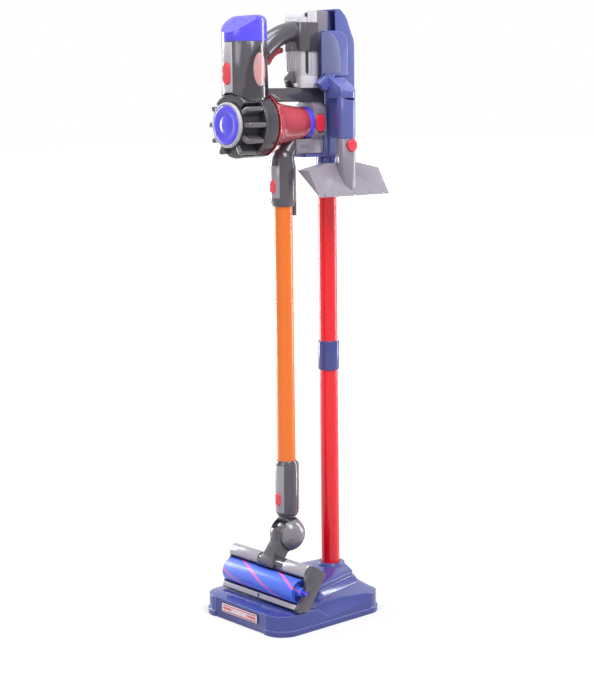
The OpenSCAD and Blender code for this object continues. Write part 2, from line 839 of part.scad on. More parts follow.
module inlet_block() color("#85838a") {
  difference() {
    translate([-inlet_w / 2, inlet_front, inlet_z]) {
      cube([inlet_w, bin_end_y + bin_end_len - inlet_front, bin_end_z - inlet_z - seat]);
    }
    bin_space(gap);
    about_y(unit_z) translate([0, bin_back - over]) square([bin_r + ring_lip + gap, ring_len + over + seat]);
    translate([inlet_w / 2 - inlet_slot_deep, inlet_front + inlet_slot_h, inlet_z + inlet_slot_h]) {
      cube([2 * inlet_slot_deep, inlet_slot_len, inlet_slot_h]);
    }
  }
}

// Column, grip and lower arm, split down the middle

column_top = unit_z + column_h;
arm_rise = 45.7;
arm_top = unit_z + arm_rise;
arm_bottom = arm_top - arm_beam_h;
arm_end = post_front - gap;
battery_reach = 58.5;
battery_front = pole_y - battery_reach;
battery_back = battery_front + battery_d;
spine_back = pole_y - pole_r - gap;
sleeve_wall = 2;
sleeve_rise = 47;
sleeve_z = arm_top + sleeve_rise;
sleeve_h = 37;
sleeve_room = 0.1;
arch_reach = 44;
arch_rise = 73.8;
arch_y = pole_y - arch_reach;
arch_z = arm_top + arch_rise - arch_r;
arch_end_angle = 134;
panel_t = 0.8;
panel_half_w = 15;
panel_h = 64;
panel_drop = 6;
panel_shoulder_share = 0.55;
panel_tip_share = 0.3;
strip_w = 18;
strip_deep = 1.1;
strip_out = 0.8;
strip_rise = 41;
strip_z = unit_z + strip_rise;
power_w = 13;
power_h = 27;
power_rise = 64;
power_z = unit_z + power_rise;
power_out = 1.8;
power_travel = 1.5;
power_deep = 2.5;
badge_w = 19;
badge_h = 42;
badge_t = 1.2;
badge_rise = 69;
badge_z = unit_z + badge_rise;
badge_steps = 28;
trigger_ahead = 3;
trigger_rise = 48.3;
trigger_y = wand_y - trigger_ahead;
trigger_z = arm_top + trigger_rise;
trigger_len = 21;
trigger_pin_r = 1.5;
trigger_pin_len = 18;
grip_screw_at = [6, 67];
arm_screw_at = [6, 9];
housing_screw_spots = [
  [wand_y + grip_screw_at[0], arm_top + grip_screw_at[1]],
  [battery_front + arm_screw_at[0], arm_top - arm_screw_at[1]]
];
housing_screw_len = 18;
housing_screw_head_x = 9;

module side_panel_outline() {
  polygon([
    [-panel_half_w, 0], [panel_half_w, 0], [panel_half_w, panel_shoulder_share * panel_h],
    [panel_tip_share * panel_half_w, panel_h - panel_half_w / 2], [0, panel_h],
    [-panel_tip_share * panel_half_w, panel_h - panel_half_w / 2], [-panel_half_w, panel_shoulder_share * panel_h]
  ]);
}

module battery_pocket(z0, z1) {
  intersection() {
    translate([0, 0, z0]) linear_extrude(z1 - z0) battery_outline(sleeve_room);
    translate([-battery_w, -base_d, z0]) cube([2 * battery_w, base_d + battery_back + over, z1 - z0]);
  }
}

// Plan of the battery, with its back half running on behind it
module battery_outline(grow) {
  translate([0, battery_back]) rounded(battery_w + 2 * grow, 2 * (battery_d + grow), battery_corner_r + grow);
}

// Side views of the trigger and of the room it swings in, from its pin
trigger_shares = [
  [0.14, -0.14], [0.14, 0.14], [-0.1, 0.17], [-0.75, 0.05], [-1.05, -0.2], [-1.17, -0.55], [-1.12, -0.84],
  [-0.95, -0.9], [-0.72, -0.6], [-0.5, -0.38], [-0.25, -0.25]
];
trigger_room_shares = [[-1.33, -1.1], [-0.8, -1.1], [0.24, -0.5], [0.24, 0.19], [-0.1, 0.31], [-1.33, 0.31]];

module trigger_space() {
  w = trigger_w + 2 * gap;
  translate([0, 0, trigger_z]) along_x(-w / 2, w / 2) {
    polygon([for (p = trigger_room_shares) [trigger_y + p[0] * trigger_len, p[1] * trigger_len]]);
  }
}

module housing_whole() {
  difference() {
    union() {
      translate([0, column_y, unit_z]) cylinder(h = column_top - unit_z, r = column_r);
      intersection() {
        translate([0, column_y, unit_z]) cylinder(h = column_top - unit_z, r = column_r + panel_t);
        translate([0, column_y, strip_z - panel_drop]) along_x(-2 * column_r, 2 * column_r) side_panel_outline();
      }
      translate([0, arch_y, arch_z]) rotate([90, 0, 90]) rotate([0, 0, 90]) {
        rotate_extrude(angle = arch_end_angle - 90) translate([arch_r, 0]) circle(grip_r);
      }
      translate([0, 0, sleeve_z]) linear_extrude(sleeve_h) translate([0, battery_front - sleeve_wall - sleeve_room]) {
        w = battery_w + 2 * (sleeve_wall + sleeve_room);
        d = battery_d + sleeve_wall + sleeve_room - seat;
        intersection() {
          translate([0, d]) rounded(w, 2 * d, battery_corner_r + sleeve_wall + sleeve_room);
          translate([-w, 0]) square([2 * w, d]);
        }
      }
      translate([-arm_w / 2, column_y, arm_bottom]) cube([arm_w, arm_end - column_y, arm_beam_h]);
    }
    translate([0, column_y, unit_z - over]) cylinder(h = column_h + 2 * over, r = column_r - wall);
    translate([0, column_y, column_top + seat]) cylinder(h = cap_h, r = column_r + over);
    about_y(unit_z) polygon(drum_outline(seat));
    translate([0, 0, unit_z]) rod_y(2 * fin_front, drum_front + over, drum_r + seat);
    bin_space(gap);
    battery_pocket(arm_top, stand_h);
    trigger_space();
    translate([0, trigger_y, trigger_z]) rod_x(-trigger_pin_len / 2 - seat, trigger_pin_len / 2 + seat, trigger_pin_r + seat);
    for (p = housing_screw_spots) translate([0, p[0], p[1]]) {
      rod_x(-housing_screw_head_x, housing_screw_len - housing_screw_head_x + seat, screw_r + seat);
      rod_x(-column_r, -housing_screw_head_x, screw_head_r + seat);
    }
    strip_space(seat);
    power_space();
  }
}

module strip_space(grow) {
  intersection() {
    translate([0, column_y, strip_z - grow]) {
      tube(0, column_top - strip_z - over + 2 * grow, column_r + strip_out + grow, column_r - strip_deep - grow);
    }
    translate([-strip_w / 2 - grow, column_y - 2 * column_r, unit_z]) cube([strip_w + 2 * grow, 2 * column_r, column_h]);
  }
}

module power_space() {
  translate([0, 0, power_z]) along_y(column_y - 2 * column_r, column_y) oblong(power_w + 2 * gap, power_h + 2 * gap);
}

module housing_right() color("#625d69") {
  intersection() {
    housing_whole();
    translate([0, -base_d, 0]) cube([base_w, 2 * base_d, stand_h]);
  }
}

module housing_left() color("#625d69") {
  intersection() {
    housing_whole();
    translate([-base_w, -base_d, 0]) cube([base_w, 2 * base_d, stand_h]);
  }
}

module housing_screws() color("silver") {
  for (p = housing_screw_spots) translate([0, p[0], p[1]]) {
    rod_x(-housing_screw_head_x - screw_head_h / 2, housing_screw_len - housing_screw_head_x, screw_r);
    rod_x(-housing_screw_head_x - screw_head_h, -housing_screw_head_x - seat, screw_head_r);
  }
}

module front_strip() color("#c9c6cf") {
  difference() {
    strip_space(0);
    power_space();
  }
}

module power_button() color("#ef3644") {
  r = column_r + strip_out;
  translate([0, 0, power_z]) along_y(column_y - r - power_out, column_y - r + strip_out + strip_deep + power_deep) {
    oblong(power_w, power_h);
  }
}

module badge() {
  intersection() {
    translate([0, column_y, 0]) tube(unit_z, column_top, column_r + panel_t + badge_t, column_r + panel_t + seat);
    translate([0, column_y, badge_z]) along_x(0, 2 * column_r) {
      polygon([for (i = [0:badge_steps - 1]) let (a = 360 * i / badge_steps) [badge_w / 2 * cos(a), badge_h / 2 * sin(a)]]);
    }
  }
}

module badge_right() color("#d9b9ba") badge();

module badge_left() color("#d9b9ba") mirror([1, 0, 0]) badge();

// Cap, motor and fan

cap_round = 8;
cap_top_t = 3;
cap_cut_y = 17.5;
cap_cut_drop = 22.7;
cap_slots = 6;
cap_slot_w = 1.6;
cap_slot_step = 6;
motor_r = 12;
motor_h = 28;
motor_rise = 52;
motor_z = unit_z + motor_rise;
mount_t = 2;
mount_rise = 22;
mount_z = motor_z + mount_rise;
shaft_r = 1.2;
fan_r = 22;
fan_h = 10;
fan_hub_r = 5;
fan_blades = 9;
fan_blade_t = 1.2;
fan_lift = 3;
fan_z = motor_z + motor_h + fan_lift;

module filter_cap() color("#4b41fa") {
  z1 = column_top + cap_h;
  difference() {
    translate([0, column_y, 0]) rotate_extrude() {
      translate([0, column_top + seat]) square([column_r, cap_h - cap_round - seat]);
      translate([0, column_top + seat]) square([column_r - cap_round, cap_h - seat]);
      translate([column_r - cap_round, z1 - cap_round]) circle(cap_round);
    }
    translate([0, column_y, column_top]) cylinder(h = cap_h - cap_cut_drop - cap_top_t, r = column_r - wall);
    translate([0, column_y - column_r, z1]) along_x(-2 * column_r, 2 * column_r) {
      polygon([[-over, -cap_cut_drop - over], [cap_cut_y, over], [-over - cap_cut_y, over]]);
    }
    for (i = [0:cap_slots - 1]) {
      translate([(i - (cap_slots - 1) / 2) * cap_slot_step - cap_slot_w / 2, column_y - column_r, z1 - cap_cut_drop]) {
        cube([cap_slot_w, cap_cut_y - 2 * over, cap_cut_drop - 2 * over]);
      }
    }
  }
}

module motor_mount() color("#85838a") {
  translate([0, column_y, mount_z]) difference() {
    cylinder(h = mount_t, r = column_r - wall - seat);
    translate([0, 0, -over]) cylinder(h = mount_t + 2 * over, r = motor_r + seat);
    translate([0, -column_r, -over]) along_y(-column_r, column_r / 2) {
      square([power_w + 2 * gap + 2 * over, 2 * column_r], center = true);
    }
  }
}

module motor() color("silver") {
  translate([0, column_y, motor_z]) difference() {
    cylinder(h = motor_h, r = motor_r);
    translate([0, 0, motor_h / 2]) cylinder(h = motor_h, r = shaft_r + run);
  }
}

module motor_shaft() color("#dddddd") {
  translate([0, column_y, motor_z + motor_h / 2 + gap]) cylinder(h = motor_h / 2 + fan_h, r = shaft_r);
}

module fan() color("#ece9ee") {
  translate([0, column_y, fan_z]) difference() {
    union() {
      translate([0, 0, fan_blade_t / 2]) linear_extrude(fan_h - fan_blade_t / 2) {
        circle(fan_hub_r);
        for (i = [0:fan_blades - 1]) rotate(360 * i / fan_blades) {
          translate([fan_hub_r - over, -fan_blade_t / 2]) square([fan_r - fan_hub_r, fan_blade_t]);
        }
      }
      cylinder(h = fan_blade_t, r = fan_r);
    }
    translate([0, 0, -over]) cylinder(h = fan_h + 2 * over, r = shaft_r + seat);
  }
}

// Battery, spine and trigger

battery_top_r = 14;
battery_corner_r = 8;
battery_steps = 8;
groove_w = 1.2;
groove_deep = 0.8;
groove_step = 5;
grooves = 5;
side_groove_shares = [0.3, 0.5];
cell_r = 7.2;
cell_len = 50;
cell_room = 0.2;
cell_wall = 1;
cell_x = cell_r + cell_room + cell_wall / 2;
latch_w = 14;
latch_h = 21.3;
latch_pin_r = 1.2;

module battery_profile(z0) {
  z1 = arm_top + battery_h;
  polygon(concat(
    [[battery_front, z0]],
    [for (i = [0:battery_steps]) let (a = 180 - 90 * i / battery_steps)
      [battery_front + battery_top_r + battery_top_r * cos(a), z1 - battery_top_r + battery_top_r * sin(a)]],
    [[battery_back - seat, z1], [battery_back - seat, z0]]
  ));
}

module battery_case() color("#d3cfd8") {
  z0 = arm_top + battery_foot_h + seat;
  w = battery_w / 2;
  difference() {
    intersection() {
      along_x(-w, w) battery_profile(z0);
      linear_extrude(stand_h) battery_outline(0);
    }
    for (i = [0:grooves - 1]) {
      translate([(i - (grooves - 1) / 2) * groove_step - groove_w / 2, battery_front - over, z0 - over]) {
        cube([groove_w, over + groove_deep, battery_h]);
      }
    }
    for (s = side_groove_shares, m = [0, 1]) mirror([m, 0, 0]) {
      translate([w - groove_deep, battery_front + s * battery_d, z0 - over]) cube([2 * groove_deep, 2 * groove_w, battery_h]);
    }
    for (s = [-1, 1]) translate([s * cell_x, battery_front + battery_d / 2, z0 - over]) {
      cylinder(h = cell_len + over + cell_room, r = cell_r + cell_room);
    }
  }
}

module battery_cells() color("#3d7a4a") {
  for (s = [-1, 1]) {
    translate([s * cell_x, battery_front + battery_d / 2, arm_top + battery_foot_h + 2 * seat]) {
      cylinder(h = cell_len, r = cell_r);
    }
  }
}

// The latch is a small lever on a pin between two lugs of the battery foot
latch_pivot = [-3.2, 3.6];
latch_eye_r = 2.6;
lug_t = 1.8;
latch_shares = [
  [-0.03, 0.1], [-0.03, 0.28], [-0.12, 1], [-0.2, 1], [-0.47, 0.5], [-0.42, 0.38], [-0.27, 0.1]
];

module latch_place() {
  translate([0, battery_front, arm_top]) children();
}

module battery_foot() color("#e4e1e8") {
  x0 = latch_w / 2 + gap;
  intersection() {
    translate([-battery_w / 2, battery_front, arm_top + seat]) {
      cube([battery_w, battery_d - seat, battery_foot_h - seat]);
    }
    linear_extrude(stand_h) battery_outline(0);
  }
  latch_place() {
    for (m = [0, 1]) mirror([m, 0, 0]) {
      translate([0, latch_pivot[0], latch_pivot[1]]) rod_x(x0, x0 + lug_t, latch_eye_r);
      along_x(x0, x0 + lug_t) translate([latch_pivot[0], latch_pivot[1] - latch_eye_r]) {
        square([-latch_pivot[0] + over, 2 * latch_eye_r]);
      }
    }
    translate([0, latch_pivot[0], latch_pivot[1]]) rod_x(-x0 - over, x0 + over, latch_pin_r);
  }
}

module battery_latch() color("#3c3a46") {
  latch_place() difference() {
    union() {
      along_x(-latch_w / 2, latch_w / 2) polygon(latch_h * latch_shares);
      translate([0, latch_pivot[0], latch_pivot[1]]) rod_x(-latch_w / 2, latch_w / 2, latch_eye_r);
    }
    translate([0, latch_pivot[0], latch_pivot[1]]) rod_x(-latch_w, latch_w, latch_pin_r + run);
  }
}

module rear_spine() color("#9a959e") {
  difference() {
    translate([-battery_w / 2, battery_back, arm_top + seat]) {
      cube([battery_w, spine_back - battery_back, battery_h - seat]);
    }
    translate([-battery_w, arm_end, arm_bottom]) cube([2 * battery_w, base_d, post_top + gap - arm_bottom]);
  }
}

module trigger() color("#c62c3c") {
  difference() {
    translate([0, 0, trigger_z]) along_x(-trigger_w / 2, trigger_w / 2) {
      polygon([for (p = trigger_shares) [trigger_y + p[0] * trigger_len, p[1] * trigger_len]]);
    }
    translate([0, trigger_y, trigger_z]) rod_x(-trigger_w, trigger_w, trigger_pin_r + run);
  }
}

module trigger_pin() color("silver") {
  translate([0, trigger_y, trigger_z]) rod_x(-trigger_pin_len / 2, trigger_pin_len / 2, trigger_pin_r);
}

// Wand with its two collars

ball_z = deck_h + ball_rise;
collar_rise = 25.5;
collar_lower_z = ball_z + collar_rise;
collar_lower_top = collar_lower_z + collar_lower_len;
collar_drop = 68;
collar_upper_z = inlet_z - collar_drop;
collar_upper_top = collar_upper_z + collar_upper_len;
upper_bore_len = 49;
upper_bore_top = collar_upper_z + upper_bore_len;
stem_r = 9;
stem_deep = 22;
wand_stop_t = 3;
wand_z = collar_lower_z + stem_deep + wand_stop_t;
elbow_r = 15.5;
elbow_tube_r = 12.5;
elbow_rise = 24;
elbow_run = 17;
upper_taper = 9;
upper_end_r = 14;
lower_taper = 5;
lower_end_share = 0.85;
spine_w = 6;
spine_out = 3.5;
spine_drop = 13;
upper_button_rise = 26;
lower_button_rise = 24;
upper_button_z = collar_upper_z + upper_button_rise;
lower_button_z = collar_lower_z + lower_button_rise;
button_out = 1.6;
button_travel = 1.4;

module button_space(z, grow) {
  translate([0, 0, z]) along_y(wand_y - 2 * collar_upper_r, wand_y - wand_r - seat) {
    oblong(wand_button_w + 2 * grow, wand_button_h + 2 * grow);
  }
}

module wand_button(z, r) {
  translate([0, 0, z]) along_y(wand_y - r - button_out, wand_y - wand_r - gap - button_travel) {
    oblong(wand_button_w, wand_button_h);
  }
}

module wand_button_upper() color("#ef3644") wand_button(upper_button_z, collar_upper_r);

module wand_button_lower() color("#ef3644") wand_button(lower_button_z, collar_lower_r);

module collar_spine(z0, z1, r) {
  translate([-spine_w / 2, wand_y + r - over, z0]) cube([spine_w, spine_out + over, z1 - z0]);
}

module collar_upper() color("#55515c") {
  difference() {
    union() {
      translate([0, wand_y, 0]) rotate_extrude() {
        polygon([
          [0, collar_upper_z], [upper_end_r, collar_upper_z], [collar_upper_r, collar_upper_z + upper_taper],
          [collar_upper_r, collar_upper_top - upper_taper], [elbow_r, collar_upper_top], [0, collar_upper_top]
        ]);
      }
      translate([0, wand_y, collar_upper_top]) sphere(elbow_r);
      translate([0, wand_y, collar_upper_top]) rotate([-atan2(elbow_run, elbow_rise), 0, 0]) {
        cylinder(h = norm([elbow_run, elbow_rise]), r = elbow_tube_r);
      }
      collar_spine(collar_upper_z + upper_taper, collar_upper_top - upper_taper, collar_upper_r);
      collar_spine(collar_upper_z - spine_drop, collar_upper_z + upper_taper + over, collar_upper_r);
    }
    translate([0, wand_y, collar_upper_z - over]) cylinder(h = upper_bore_top - collar_upper_z + over, r = wand_r + seat);
    bin_space(gap);
    translate([-inlet_w, inlet_front - seat, inlet_z - seat]) cube([2 * inlet_w, base_d, unit_z]);
    button_space(upper_button_z, gap);
  }
}

module wand_tube() color("#f5841e") {
  translate([0, wand_y, 0]) tube(wand_z, upper_bore_top - seat, wand_r, wand_r - wand_wall);
}

module collar_lower() color("#55515c") {
  r1 = lower_end_share * collar_lower_r;
  difference() {
    union() {
      translate([0, wand_y, 0]) rotate_extrude() {
        polygon([
          [0, collar_lower_z], [r1, collar_lower_z], [collar_lower_r, collar_lower_z + lower_taper],
          [collar_lower_r, collar_lower_top - lower_taper], [r1, collar_lower_top], [0, collar_lower_top]
        ]);
      }
      collar_spine(collar_lower_z + lower_taper, collar_lower_top - lower_taper, collar_lower_r);
    }
    translate([0, wand_y, wand_z - seat]) cylinder(h = collar_lower_len, r = wand_r + seat);
    translate([0, wand_y, collar_lower_z - over]) cylinder(h = stem_deep + over, r = stem_r + run);
    button_space(lower_button_z, gap);
  }
}

// Swivel ball

cheek_x = 10.6;
cheek_t = 2.4;
hub_r = 18;
hub_room_angles = [61, 154];
bridge_d = 16;
swivel_pin_r = 3;
swivel_pin_len = 38;

// Side profile of the yoke's bridge, as shares of the cheek's outer face and of the ball
bridge_shares = [[-1, 0.767], [1, 0.767], [1, 0.81], [0.72, 0.95], [-0.72, 0.95], [-1, 0.81]];

module swivel_stem() color("#46424c") {
  bottom = ball_z + bridge_shares[0][1] * ball_r;
  difference() {
    union() {
      translate([0, wand_y, bottom + over]) cylinder(h = collar_lower_z - bottom - over - gap + stem_deep, r = stem_r);
      along_y(wand_y - bridge_d / 2, wand_y + bridge_d / 2) {
        polygon([for (p = bridge_shares) [p[0] * (cheek_x + cheek_t), ball_z + p[1] * ball_r]]);
      }
      for (a = [90, -90]) translate([0, wand_y, ball_z]) rotate([0, a, 0]) rotate_extrude() {
        intersection() {
          circle(ball_r);
          translate([0, cheek_x]) square([ball_r, cheek_t]);
        }
      }
    }
    translate([0, wand_y, ball_z]) rod_x(-ball_r, ball_r, swivel_pin_r + seat);
  }
}

module ball_shell() {
  difference() {
    translate([0, wand_y, ball_z]) sphere(ball_r);
    translate([-2 * ball_r, wand_y - 2 * ball_r, ball_z - 2 * ball_r]) {
      cube([2 * ball_r + cheek_x + cheek_t + seat, 4 * ball_r, 4 * ball_r]);
    }
    translate([0, wand_y, ball_z]) rod_x(0, swivel_pin_len / 2 + seat, swivel_pin_r + seat);
  }
}

module ball_shell_right() color("#4a4650") ball_shell();

module ball_shell_left() color("#c4c0ca") mirror([1, 0, 0]) ball_shell();

module swivel_pin() color("silver") {
  translate([0, wand_y, ball_z]) rod_x(-swivel_pin_len / 2, swivel_pin_len / 2, swivel_pin_r);
}

// Floor head, parked on the deck with its front lip down

hub_w = 20.4;
bar_ahead = 28;
bar_rise = 48;
bar_y = wand_y - bar_ahead;
bar_z = deck_h + bar_rise;
roller_ahead = 41;
roller_rise = 25.5;
roller_y = wand_y - roller_ahead;
roller_z = deck_h + roller_rise;
end_t = 7;
end_gap = 0.5;
roller_wall = 2.4;
roller_cap_in = 4;
roller_cap_t = 3;
roller_hub_r = 6;
axle_r = 3;
hood_in = 1.4;
hood_t = 1.8;
hood_front_angle = -98;
hood_back_angle = 40;
sector_steps = 16;
lip_rest = 1.6;
lip_lean = 2;
lip_ahead = 52.4;
lip_front = wand_y - lip_ahead;
lip_low = deck_h + lip_rest;
lip_edge = 2.4;
lip_h = 8.4;
lip_top = lip_low + lip_h;
lip_strip_t = 1.2;
lip_bed_d = 14.5;
lip_bed_h = 6.8;
end_left_t = 4;
roller_room = 6;
neck_w = 20;
neck_flare_w = 32;
bar_panel_t = 0.8;
bar_panel_shares = [[-1, -0.24], [0.42, 1]];
wheel_ahead = 16.4;
wheel_rise = 28;
wheel_y = wand_y - wheel_ahead;
wheel_z = deck_h + wheel_rise;
wheel_x = 54;
wheel_axle_r = 2;
ear_t = 2.5;
ear_r = 4;
body_half = head_w / 2 - end_t;

// Side views of the right end plate and of the smaller bracket at the left end, as places from the wand axis and the deck
end_plate_shares = [
  [-0.691, 0.02], [-0.691, 0.07], [-0.503, 0.27], [-0.485, 0.515], [-0.4, 0.723], [-0.36, 0.715], [-0.242, 0.65],
  [-0.085, 0.523], [-0.453, 0.009], [-0.65, 0.009]
];
end_bracket_shares = [
  [-0.606, 0.009], [-0.606, 0.105], [-0.558, 0.2], [-0.558, 0.36], [-0.46, 0.5], [-0.436, 0.63], [-0.27, 0.65],
  [-0.23, 0.52], [-0.34, 0.3], [-0.448, 0.009]
];

// Side view of the neck, from the ball down to the bar
neck_shares = [
  [-0.2, 1.06], [-0.28, 0.89], [-0.51, 0.59], [-0.49, 0.51], [-0.36, 0.5], [-0.2, 0.62], [0, 0.77], [0.1, 0.95]
];

function head_points(shares) = [for (p = shares) [wand_y + p[0] * ball_rise, deck_h + lip_rest + p[1] * ball_rise]];

module head_neck() color("#6b6672") {
  difference() {
    union() {
      translate([0, wand_y, ball_z]) {
        rod_x(-hub_w / 2, hub_w / 2, hub_r);
        difference() {
          rotate([0, 90, 0]) rotate_extrude() intersection() {
            circle(ball_r - seat);
            translate([0, -hub_w / 2]) square([ball_r, hub_w]);
          }
          along_x(-hub_w, hub_w) sector(hub_room_angles[0], hub_room_angles[1]);
        }
      }
      intersection() {
        along_x(-neck_flare_w / 2, neck_flare_w / 2) polygon(head_points(neck_shares));
        along_y(-base_d, base_d) polygon([
          [-neck_flare_w / 2, deck_h], [neck_flare_w / 2, deck_h], [neck_flare_w / 2, bar_z],
          [neck_w / 2, ball_z - ball_r - gap], [neck_w / 2, 2 * ball_z], [-neck_w / 2, 2 * ball_z],
          [-neck_w / 2, ball_z - ball_r - gap], [-neck_flare_w / 2, bar_z]
        ]);
      }
    }
    translate([0, bar_y, bar_z]) rod_x(-hub_w, hub_w, bar_r + seat);
    translate([0, roller_y, roller_z]) rod_x(-hub_w, hub_w, roller_r + hood_in + hood_t + seat);
    translate([0, wand_y, ball_z]) rod_x(-hub_w, hub_w, swivel_pin_r + run);
  }
}

// Pie slice seen from the side, from angle a to angle b
module sector(a, b) {
  far = 3 * ball_r;
  polygon(concat(
    [[0, 0]],
    [for (i = [0:sector_steps]) far * [cos(a + (b - a) * i / sector_steps), sin(a + (b - a) * i / sector_steps)]]
  ));
}

module head_frame() color("#565260") {
  difference() {
    union() {
      translate([0, bar_y, bar_z]) rod_x(-body_half, body_half + over, bar_r);
      translate([0, roller_y, roller_z]) intersection() {
        rod_x(over - body_half, body_half + over, roller_r + hood_in + hood_t);
        along_x(-head_w / 2, head_w / 2) sector(hood_front_angle, hood_back_angle);
      }
      along_x(over - body_half, body_half + over) {
        polygon([
          [lip_front + lip_lean / 2, lip_low], [lip_front, lip_low + lip_edge], [lip_front + lip_lean, lip_top],
          [lip_front + 2 * lip_lean, lip_top], [lip_front + 2 * lip_lean + lip_edge, lip_low + lip_bed_h],
          [lip_front + lip_bed_d, lip_low + lip_bed_h], [lip_front + lip_bed_d, lip_low]
        ]);
      }
      along_x(body_half, head_w / 2) polygon(head_points(end_plate_shares));
      along_x(end_gap - body_half, end_gap + end_left_t - body_half) polygon(head_points(end_bracket_shares));
      for (m = [0, 1], x = [wheel_x - wheel_w / 2 - ear_t - gap, wheel_x + wheel_w / 2 + gap]) {
        mirror([m, 0, 0]) along_x(x, x + ear_t) {
          polygon([
            [wheel_y - ear_r, wheel_z - ear_r], [wheel_y + ear_r, wheel_z - ear_r], [wheel_y + ear_r, wheel_z + ear_r],
            [bar_y, bar_z], [roller_y + roller_r + hood_in + over, roller_z]
          ]);
        }
      }
    }
    translate([0, roller_y, roller_z]) rod_x(end_gap + end_left_t - body_half, body_half, roller_r + hood_in);
    translate([0, roller_y, roller_z]) rod_x(-head_w, head_w, axle_r + seat);
    translate([0, wheel_y, wheel_z]) rod_x(-body_half, body_half, wheel_axle_r + run);
  }
}

module bar_panels() color("#b5b1bb") {
  for (s = bar_panel_shares) intersection() {
    translate([0, bar_y, bar_z]) difference() {
      rod_x(s[0] * body_half + end_gap, s[1] * body_half - end_gap, bar_r + bar_panel_t);
      rod_x(-head_w, head_w, bar_r + seat);
    }
    along_x(-head_w / 2, head_w / 2) {
      polygon([[bar_y - 2 * bar_r, bar_z - bar_r / 2], [bar_y, bar_z], [bar_y, bar_z + 2 * bar_r], [bar_y - 2 * bar_r, bar_z + 2 * bar_r]]);
    }
  }
}

module lip_strip() color("#cbc8d0") {
  along_x(2 * over - body_half, body_half - 2 * over) {
    polygon([
      [lip_front - seat, lip_low + lip_edge], [lip_front + lip_lean - seat, lip_top],
      [lip_front + lip_lean - seat - lip_strip_t, lip_top], [lip_front - seat - lip_strip_t, lip_low + lip_edge]
    ]);
  }
}

module roller() color("#4c62e6") {
  l = body_half - roller_room;
  translate([0, roller_y, roller_z]) difference() {
    union() {
      difference() {
        rod_x(-l, l, roller_r);
        rod_x(-l - over, l + over, roller_r - roller_wall);
      }
      for (m = [0, 1]) mirror([m, 0, 0]) rod_x(l - roller_cap_in - roller_cap_t, l - roller_cap_in, roller_r - roller_wall / 2);
      rod_x(l - roller_cap_in - over, body_half - end_gap, roller_hub_r);
      rod_x(end_left_t + 2 * end_gap - body_half, roller_cap_in + over - l, roller_hub_r);
    }
    rod_x(-head_w, head_w, axle_r + run);
  }
}

module roller_axle() color("silver") {
  translate([0, roller_y, roller_z]) rod_x(over - body_half, head_w / 2 - over, axle_r);
}

module rear_wheels() color("#2e2c33") {
  l = wheel_x + wheel_w / 2 + ear_t + gap;
  translate([0, wheel_y, wheel_z]) {
    rod_x(-l, l, wheel_axle_r);
    for (s = [-1, 1]) translate([s * wheel_x, 0, 0]) rod_x(-wheel_w / 2, wheel_w / 2, wheel_r);
  }
}

base_shell();
base_plate();
base_screws();
pole_lower();
pole_coupler();
pole_upper();
dock_head();
dock_arm_right();
dock_arm_left();
dock_post();
dock_collar();
tool_socket();
tool_tube();
tool_nozzle();
tool_button();
housing_right();
housing_left();
housing_screws();
filter_cap();
front_strip();
power_button();
badge_right();
badge_left();
motor();
motor_mount();
motor_shaft();
fan();
cyclone_drum();
filter_disc();
filter_rim();
dust_bin();
bin_core();
bin_ring();
bin_end();
bin_button();
inlet_block();
battery_case();
battery_foot();
battery_latch();
battery_cells();
rear_spine();
trigger();
trigger_pin();
collar_upper();
wand_button_upper();
wand_tube();
collar_lower();
wand_button_lower();
swivel_stem();
ball_shell_left();
ball_shell_right();
swivel_pin();
head_neck();
head_frame();
bar_panels();
lip_strip();
roller();
roller_axle();
rear_wheels();
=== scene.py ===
import json
import math

import bpy
from mathutils import Matrix, Vector


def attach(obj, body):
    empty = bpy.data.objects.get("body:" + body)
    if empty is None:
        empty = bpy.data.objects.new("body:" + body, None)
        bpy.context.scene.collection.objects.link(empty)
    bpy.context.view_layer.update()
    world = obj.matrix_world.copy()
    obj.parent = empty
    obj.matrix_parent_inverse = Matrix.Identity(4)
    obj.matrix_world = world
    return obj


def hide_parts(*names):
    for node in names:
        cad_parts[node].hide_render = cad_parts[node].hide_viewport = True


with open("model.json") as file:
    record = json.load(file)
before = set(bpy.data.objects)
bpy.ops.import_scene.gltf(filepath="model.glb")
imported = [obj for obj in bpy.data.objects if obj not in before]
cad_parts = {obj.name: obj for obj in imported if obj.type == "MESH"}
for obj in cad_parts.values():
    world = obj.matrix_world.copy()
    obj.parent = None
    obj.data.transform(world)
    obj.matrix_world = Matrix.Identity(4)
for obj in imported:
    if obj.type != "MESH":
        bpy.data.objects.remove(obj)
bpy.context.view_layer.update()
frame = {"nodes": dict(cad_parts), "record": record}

nodes = frame["nodes"]
mm = 0.001
bodyOf = {node: body for body, members in frame["record"]["behaviour"]["bodies"].items() for node in members}
slotOf = {row["node"]: row["material_slot"] for row in frame["record"]["subparts"]}


# materials

def rgb(r, g, b):
    # colours are noted as screen values and turned into linear ones here
    screen = [c / 255 for c in (r, g, b)]
    return tuple(c / 12.92 if c <= 0.04045 else ((c + 0.055) / 1.055) ** 2.4 for c in screen) + (1,)


plasticUsual = {  # what a look doesn't say; the scales are in cells per metre, the widths and depths in mm
    "coat": 0.35, "coatRoughness": 0.1, "metal": 0, "clear": 0, "ior": 1.46, "cloudScale": 18,
    "edgeWidth": 0.8, "edgeStart": 0.99, "edgeFull": 0.75, "edgeShow": 0.5,  # start and full are cosines of the turn
    "scratchScale": 140, "scratchLow": 0.3, "scratchHigh": 0.7, "roughLess": 0.02, "roughMore": 0.04,
    "grainScale": 1400, "grain": 0.03, "grainDeep": 0.1,
}


